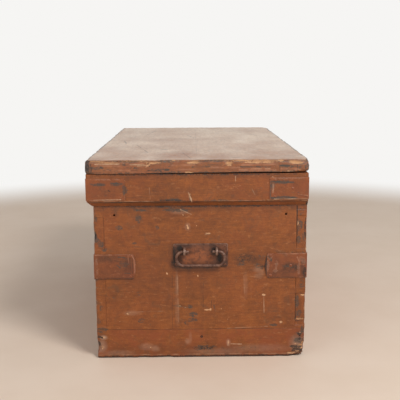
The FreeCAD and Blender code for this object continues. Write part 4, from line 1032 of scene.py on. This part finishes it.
lid_low = np.minimum(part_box("lid_left_cleat")[0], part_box("lid_front_board")[0])
lid_high = np.maximum(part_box("lid_right_cleat")[1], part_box("lid_back_board")[1])
LID_OUT = 13.8
LID_SCORES = on_end(
    (-86, 428, -66, 420, 0.9, 1, GRIME_AND_SHADE), (-112, 430, -88, 429, 1.2, 0.9, GRIME_AND_SHADE),
    (-47, 442, -47, 424, 0.7, 0.6, GRIME_AND_SHADE), (171, 444, 171, 424, 0.8, 0.6, GRIME_AND_SHADE),
    (209, 440, 210, 424, 1, 0.8, GRIME_AND_SHADE), (221, 444, 221, 424, 0.8, 0.7, GRIME_AND_SHADE),
    (-239, 446, -240, 424, 1.3, 0.9, GRIME_AND_SHADE), (-234, 444, -232, 428, 0.9, 0.8, GRIME_AND_SHADE),
    (-225, 444, -172, 444, 1.2, 0.9, PALE_AND_HIGHLIGHT), (-163, 446, -159, 440, 1.8, 1, GRIME_AND_SHADE),
    (-134, 440, -116, 441, 1.3, 0.8, PALE_AND_HIGHLIGHT), (-116, 438, -104, 446, 1.6, 1, NICK),
    (-113, 446, -108, 438, 0.9, 0.9, GRIME_AND_SHADE), (-102, 440, -90, 446, 0.9, 0.8, GRIME_AND_SHADE),
    (-30, 425, -20, 424, 2.2, 1, NICK), (-22, 446, 4, 447, 1.3, 1, NICK), (54, 445, 66, 440, 1.6, 1, NICK),
    (56, 440, 64, 447, 0.9, 0.9, GRIME_AND_SHADE), (86, 437, 152, 436, 1, 1, SLATE),
    (122, 437, 128, 436, 2.2, 1, SLATE), (170, 439, 196, 437, 2.2, 1, SLATE),
    (196, 438, 222, 436, 1.2, 0.9, SLATE), (-230, 435, -212, 437, 2, 0.7, SLATE),
    (-74, 431, -68, 431, 2.6, 1, SLATE), (96, 446, 158, 447, 1.2, 1, NICK),
    (196, 445, 222, 441, 1.3, 1, NICK), (194, 428, 197, 427, 1.6, 1, NICK),
    (229, 428, 233, 426, 1.8, 0.9, NICK), (16, 442, 46, 441, 1, 0.6, SLATE),
    (-150, 430, -124, 431, 1, 0.5, STAIN_AND_SHADE), (10, 430, 70, 431, 0.9, 0.4, STAIN_AND_SHADE),
    (-222, 441, -170, 440, 2, 0.5, RUBBED_PAINT_AND_HIGHLIGHT), (-200, 431, -150, 430, 1.6, 0.45, RUBBED_PAINT_AND_HIGHLIGHT),
    (-150, 443, -120, 443, 1.8, 0.6, PALE_AND_HIGHLIGHT), (-60, 441, -10, 441, 2, 0.5, RUBBED_PAINT_AND_HIGHLIGHT),
    (-50, 432, 4, 431, 1.6, 0.45, RUBBED_PAINT_AND_HIGHLIGHT), (20, 436, 84, 435, 2, 0.5, RUBBED_PAINT_AND_HIGHLIGHT),
    (90, 441, 166, 442, 2, 0.6, RUBBED_PAINT_AND_HIGHLIGHT), (84, 430, 162, 429, 2.2, 0.6, RUBBED_PAINT_AND_HIGHLIGHT),
    (110, 433, 150, 432.5, 1, 0.6, PALE_AND_HIGHLIGHT), (174, 432, 216, 431, 2, 0.6, RUBBED_PAINT_AND_HIGHLIGHT),
    (-236, 426, -180, 426, 1.2, 0.5, STAIN_AND_SHADE), (-16, 437, 20, 438, 2.4, 0.7, SLATE),
    (-136, 435, -118, 434, 2.4, 0.7, SLATE), (214, 434, 226, 430, 3, 0.8, SLATE),
    out=LID_OUT,
)
lid_joint_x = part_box("lid_right_cleat")[0].x / MM
lid_joint_y = (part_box("lid_front_board")[1].y - middle_y) / MM
LID_TOP_SCORES = drawn(
    (
        (120, -160, 300, -120, 1.6, 0.65, STAIN_AND_SHADE), (180, 60, 250, 150, 1.5, 0.6, STAIN_AND_SHADE),
        (300, -40, 420, -20, 1.6, 0.6, STAIN_AND_SHADE), (-40, 90, 60, 40, 1.6, 0.6, STAIN_AND_SHADE),
        (-320, -130, -180, -150, 1.8, 0.65, STAIN_AND_SHADE), (-260, 120, -120, 180, 1.6, 0.6, STAIN_AND_SHADE),
        (-150, -30, -60, -10, 2, 0.6, GRIME_AND_SHADE), (330, 120, 390, 200, 1.6, 0.6, GRIME_AND_SHADE),
        (350, -200, 380, -120, 1.6, 0.65, STAIN_AND_SHADE), (20, -200, 80, -190, 2.6, 0.7, GRIME_AND_SHADE),
        (-380, 40, -365, 70, 2.6, 0.7, GRIME_AND_SHADE), (230, -90, 236, -80, 4.5, 0.7, SLATE),
        (400, 70, 404, 90, 3.6, 0.7, SLATE), (-90, 200, -80, 206, 4.5, 0.7, SLATE),
        (90, 140, 93, 150, 4, 0.7, SLATE), (60, -60, 64, -30, 2.4, 0.6, STAIN_AND_SHADE),
        (-lid_joint_x, lid_joint_y, lid_joint_x, lid_joint_y, 0.8, 0.3, GRIME_AND_SHADE),
        (-lid_joint_x, -240, -lid_joint_x, 240, 1, 0.55, GRIME_AND_SHADE),
        (lid_joint_x, -240, lid_joint_x, 240, 1, 0.45, GRIME_AND_SHADE),
    ),
    lambda along, across: (along * MM, middle_y + across * MM, lid_high[2]),
)
lid_paint = painted_softwood("painted_softwood_lid", ALONG_X, 0.4, LID_TOP_SCORES)
lid_end_paint = painted_softwood("painted_softwood_lid_end", ALONG_Y, 0.5, LID_SCORES + LID_TOP_SCORES)
LID_BARE = (
    (-200, 447, 34, 2, 0.8), (-100, 447, 15, 2.5, 1), (-14, 447, 16, 2.5, 1), (62, 446, 9, 3, 1.1),
    (128, 447, 36, 2.5, 0.9), (206, 446, 16, 3, 1), (-112, 442, 5, 3, 1), (62, 442, 5, 3, 1),
    (-24, 425, 9, 2, 0.9), (190, 427, 4, 2, 0.7), (-126, 440, 10, 1.5, 0.8), (150, 430, 10, 1.2, 0.5),
)
LID_SLATE = (
    (-88, 431, 22, 3, 0.8), (118, 436, 40, 2, 0.6), (182, 438, 12, 3, 0.8), (-220, 436, 14, 5, 0.7),
    (-163, 443, 3, 4, 1), (232, 434, 8, 12, 0.8), (-150, 436, 20, 3, 0.5), (40, 441, 26, 2, 0.5),
    (-240, 434, 8, 12, 0.9), (200, 430, 24, 2, 0.5), (-190, 431, 30, 2, 0.5), (-140, 449, 24, 2, 0.9),
    (-70, 449, 20, 2, 0.9), (30, 449, 24, 2, 0.9), (84, 449, 14, 2, 0.9), (176, 449, 16, 2, 0.9),
    (216, 443, 14, 3, 0.7),
)
# The line at the lid's lower edge paints shade in the gap over the band.
LID_GRIME_AND_SHADE = (
    (-244, 436, 4, 12, 0.7), (238, 436, 3, 12, 0.6), (0, 423.5, 240, 1.2, 0.6), (-150, 450, 30, 1, 0.6),
    (30, 450, 40, 1, 0.6),
)


def lid_piece(node, material, seen):
    mesh = net_of(node, LID_NET, LID_NEAR_NET if seen else None)
    places, outward = places_of(mesh), facing_of(mesh)
    outward[places[:, 2] > lid_high[2] - WELD] = (0, 0, 1)
    from_edge = from_box_edge(places, lid_low, lid_high)
    depth = np.minimum(places - lid_low, lid_high - places).min(axis=1)
    skin = depth < SKIN_DEPTH
    rise = (places[:, 2] - lid_low[2]) / (lid_high[2] - lid_low[2])
    radius = LID_ROUND * rise
    for along, across, worn in LID_CORNERS:
        corner = np.where((along > 0, across > 0), lid_high[:2], lid_low[:2])
        away = np.linalg.norm(places[:, :2] - corner, axis=1)
        radius = np.maximum(radius, worn * (0.5 + 0.5 * rise) * np.exp(-(away / (1.4 * worn)) ** 2))
    upper = skin * np.clip(rise * 2 - 0.6, 0, 1)
    arris = upper * fading(np.clip(from_edge - 2.5 * MM, 0, None), 3)
    bare = arris * np.clip(1.7 * mottle(places, 30, 15, 4) - 0.3, 0, 1)
    slate = skin * fading(from_edge, 8) * (0.3 + 0.8 * mottle(places, 30, 16))
    long_edge = np.minimum(places[:, 1] - lid_low[1], lid_high[1] - places[:, 1]) < LONG_EDGE
    worn_line = upper * long_edge * fading(np.clip(from_edge - 3 * MM, 0, None), 4)
    slate = np.maximum(slate, worn_line * np.clip(2.6 * mottle(places, 24, 29, 4) - 0.2, 0, 1.3))
    grime = worn_line * np.clip(2 * mottle(places, 36, 30, 4) - 0.5, 0, 0.9)
    if seen:
        face = places[:, 0] > lid_high[0] - LID_FACE_DEPTH
        rubbed = np.maximum((0.4 * mottle(places, 40, 23) + 0.16) * rise, patches(places, LID_BARE))
        bare = np.maximum(bare, face * rubbed)
        knocked = np.maximum(0.45 * mottle(places, 50, 24) + 0.08, patches(places, LID_SLATE))
        slate = np.maximum(slate, face * knocked)
        grime = marked(grime, places, face, LID_GRIME_AND_SHADE)
    dip = skin * FACE_DIP * mottle(places, 30, 17)
    dip += arris * LID_WEAR * np.clip(2 * mottle(places, 16, 18) - 0.7, 0, 1)
    dip += skin * CHIP_DIP * np.clip(2 * bare - 1, 0, 1)
    moved = rounded(places - outward * dip[:, None], lid_low, lid_high, radius)
    share = np.clip((places[:, 1] - lid_low[1]) / (lid_high[1] - lid_low[1]) * 1.5 - 0.1, 0, 1)
    under = np.clip(1 - (places[:, 2] - lid_low[2]) / UNDER_REACH, 0, 1)
    moved[:, 2] += under * (LID_LOW_SIDE + (LID_HIGH_SIDE - LID_LOW_SIDE) * share)
    raw = (depth > SKIN_DEPTH) | (places[:, 2] < lid_low[2] + UNDER_DEPTH) & (from_edge > UNDER_INSET)
    streaks = 0.5 * mottle(places * (0.25, 1, 1), 60, 21, 4) + 0.8 * mottle(places, 120, 22, 4)
    hands = np.clip(0.7 * mottle(places * (0.6, 1, 1), 70, 31, 4) - 0.06, 0, 1)
    handled = 1 - hands * np.clip((places[:, 0] - HANDLED_FROM) / HANDLED_OVER, 0, 1)
    move_to(mesh, moved)
    level = np.clip(facing_of(mesh)[:, 2] * 3 - 2, 0, 1)
    level[(rise > 0.99) & (from_edge > LONG_EDGE)] = 1.0
    # On the top faces the dust also paints the sheen of the pale surround reflected at a low angle.
    dust = level * np.clip(0.58 + streaks, 0, 1.6) * handled + 0.09 * skin * (rise < 0.9)
    finished(
        f"worn_{node}", mesh, "lid", material, "painted_softwood", [node],
        bare=bare, slate=slate, grime=grime, raw=raw, dust=dust,
    )


lid_piece("lid_right_cleat", lid_end_paint, True)
lid_piece("lid_left_cleat", painted_across, False)
lid_piece("lid_front_board", lid_paint, False)
lid_piece("lid_back_board", lid_paint, False)

# Stage, light and camera
# A plain pale floor fades into a white surround. One large soft lamp stands high on the right and a weaker
# one on the left, and the camera looks square on at the right end, a little from above.
FLOOR_LIGHT, FLOOR_DARK = srgb(226, 206, 187), srgb(222, 201, 181)
SURROUND = srgb(246, 245, 243)
FLOOR_REACH, FLOOR_SIDES = 6.0, 96
FLOOR_ROUGHNESS = 0.7
FADE_START, FADE_END = 1.6, 2.4
AMBIENT = 0.46
LAMP_TARGET = Vector((0.3, 0, 0.25))
KEY_PLACE, KEY_SIZE, KEY_POWER = (2.3, 1.6, 2.5), 1.2, 76
FILL_PLACE, FILL_SIZE, FILL_POWER = (2.2, -2.2, 1.2), 1.8, 12

floor_mesh = bmesh.new()
bmesh.ops.create_circle(floor_mesh, cap_ends=True, segments=FLOOR_SIDES, radius=FLOOR_REACH)
floor_data = bpy.data.meshes.new("floor")
floor_mesh.to_mesh(floor_data)
floor_mesh.free()
floor = bpy.data.objects.new("floor", floor_data)
bpy.context.scene.collection.objects.link(floor)
pale_floor, tree, shader, place = new_material("pale_floor")
shader.inputs["Roughness"].default_value = FLOOR_ROUGHNESS
tint = ramp(tree, cloud(tree, place, 5, 4), 0.3, 0.7)
tree.links.new(blend_colour(tree, tint, FLOOR_DARK, FLOOR_LIGHT), shader.inputs["Base Color"])
white = put(tree, "ShaderNodeEmission", {}, {"Color": SURROUND})
away = put(tree, "ShaderNodeVectorMath", {"operation": "LENGTH"}, {0: place}).outputs["Value"]
far = ramp(tree, away, FADE_START, FADE_END)
fade = put(tree, "ShaderNodeMixShader", {}, {0: far, 1: shader.outputs[0], 2: white.outputs[0]})
tree.links.new(fade.outputs[0], tree.nodes["Material Output"].inputs["Surface"])
floor_data.materials.append(pale_floor)

world = bpy.data.worlds.new("surround")
bpy.context.scene.world = world
world.use_nodes = True
tree = world.node_tree
ambient = tree.nodes["Background"]
ambient.inputs["Color"].default_value = (1, 1, 1, 1)
ambient.inputs["Strength"].default_value = AMBIENT
seen = put(tree, "ShaderNodeBackground", {}, {"Color": SURROUND})
rays = put(tree, "ShaderNodeLightPath", {}, {}).outputs
direct = combine(tree, "MAXIMUM", rays["Is Camera Ray"], rays["Is Glossy Ray"])
direct = combine(tree, "MAXIMUM", direct, rays["Is Transmission Ray"])
mixed = put(tree, "ShaderNodeMixShader", {}, {0: direct, 1: ambient.outputs[0], 2: seen.outputs[0]})
tree.links.new(mixed.outputs[0], tree.nodes["World Output"].inputs["Surface"])


def soft_lamp(name, place, size, power):
    lamp = bpy.data.lights.new(name, "AREA")
    lamp.shape, lamp.size, lamp.energy = "DISK", size, power
    holder = bpy.data.objects.new(name, lamp)
    bpy.context.scene.collection.objects.link(holder)
    holder.location = place
    holder.rotation_euler = (LAMP_TARGET - Vector(place)).to_track_quat("-Z", "Y").to_euler()


soft_lamp("key_lamp", KEY_PLACE, KEY_SIZE, KEY_POWER)
soft_lamp("fill_lamp", FILL_PLACE, FILL_SIZE, FILL_POWER)

CAMERA_PLACE = (1.9413, middle_y - 0.0191, 0.6384)
CAMERA_YAW, CAMERA_PITCH, CAMERA_ROLL = 0.0123, 0.1805, -0.0055
FOCAL_PIXELS, FRAME_PIXELS, SENSOR = 704.97, 400, 36.0

level = Vector((math.sin(CAMERA_YAW), math.cos(CAMERA_YAW), 0))
ahead = Vector((-math.cos(CAMERA_YAW), math.sin(CAMERA_YAW), 0)) * math.cos(CAMERA_PITCH)
ahead.z = -math.sin(CAMERA_PITCH)
above = level.cross(ahead)
right = level * math.cos(CAMERA_ROLL) + above * math.sin(CAMERA_ROLL)
up = above * math.cos(CAMERA_ROLL) - level * math.sin(CAMERA_ROLL)
lens = bpy.data.cameras.new("camera")
lens.sensor_width = SENSOR
lens.lens = FOCAL_PIXELS * SENSOR / FRAME_PIXELS
camera = bpy.data.objects.new("camera", lens)
bpy.context.scene.collection.objects.link(camera)
camera.matrix_world = Matrix.Translation(CAMERA_PLACE) @ Matrix((right, up, -ahead)).transposed().to_4x4()
bpy.context.scene.camera = camera
bpy.context.scene.view_settings.view_transform = "Standard"
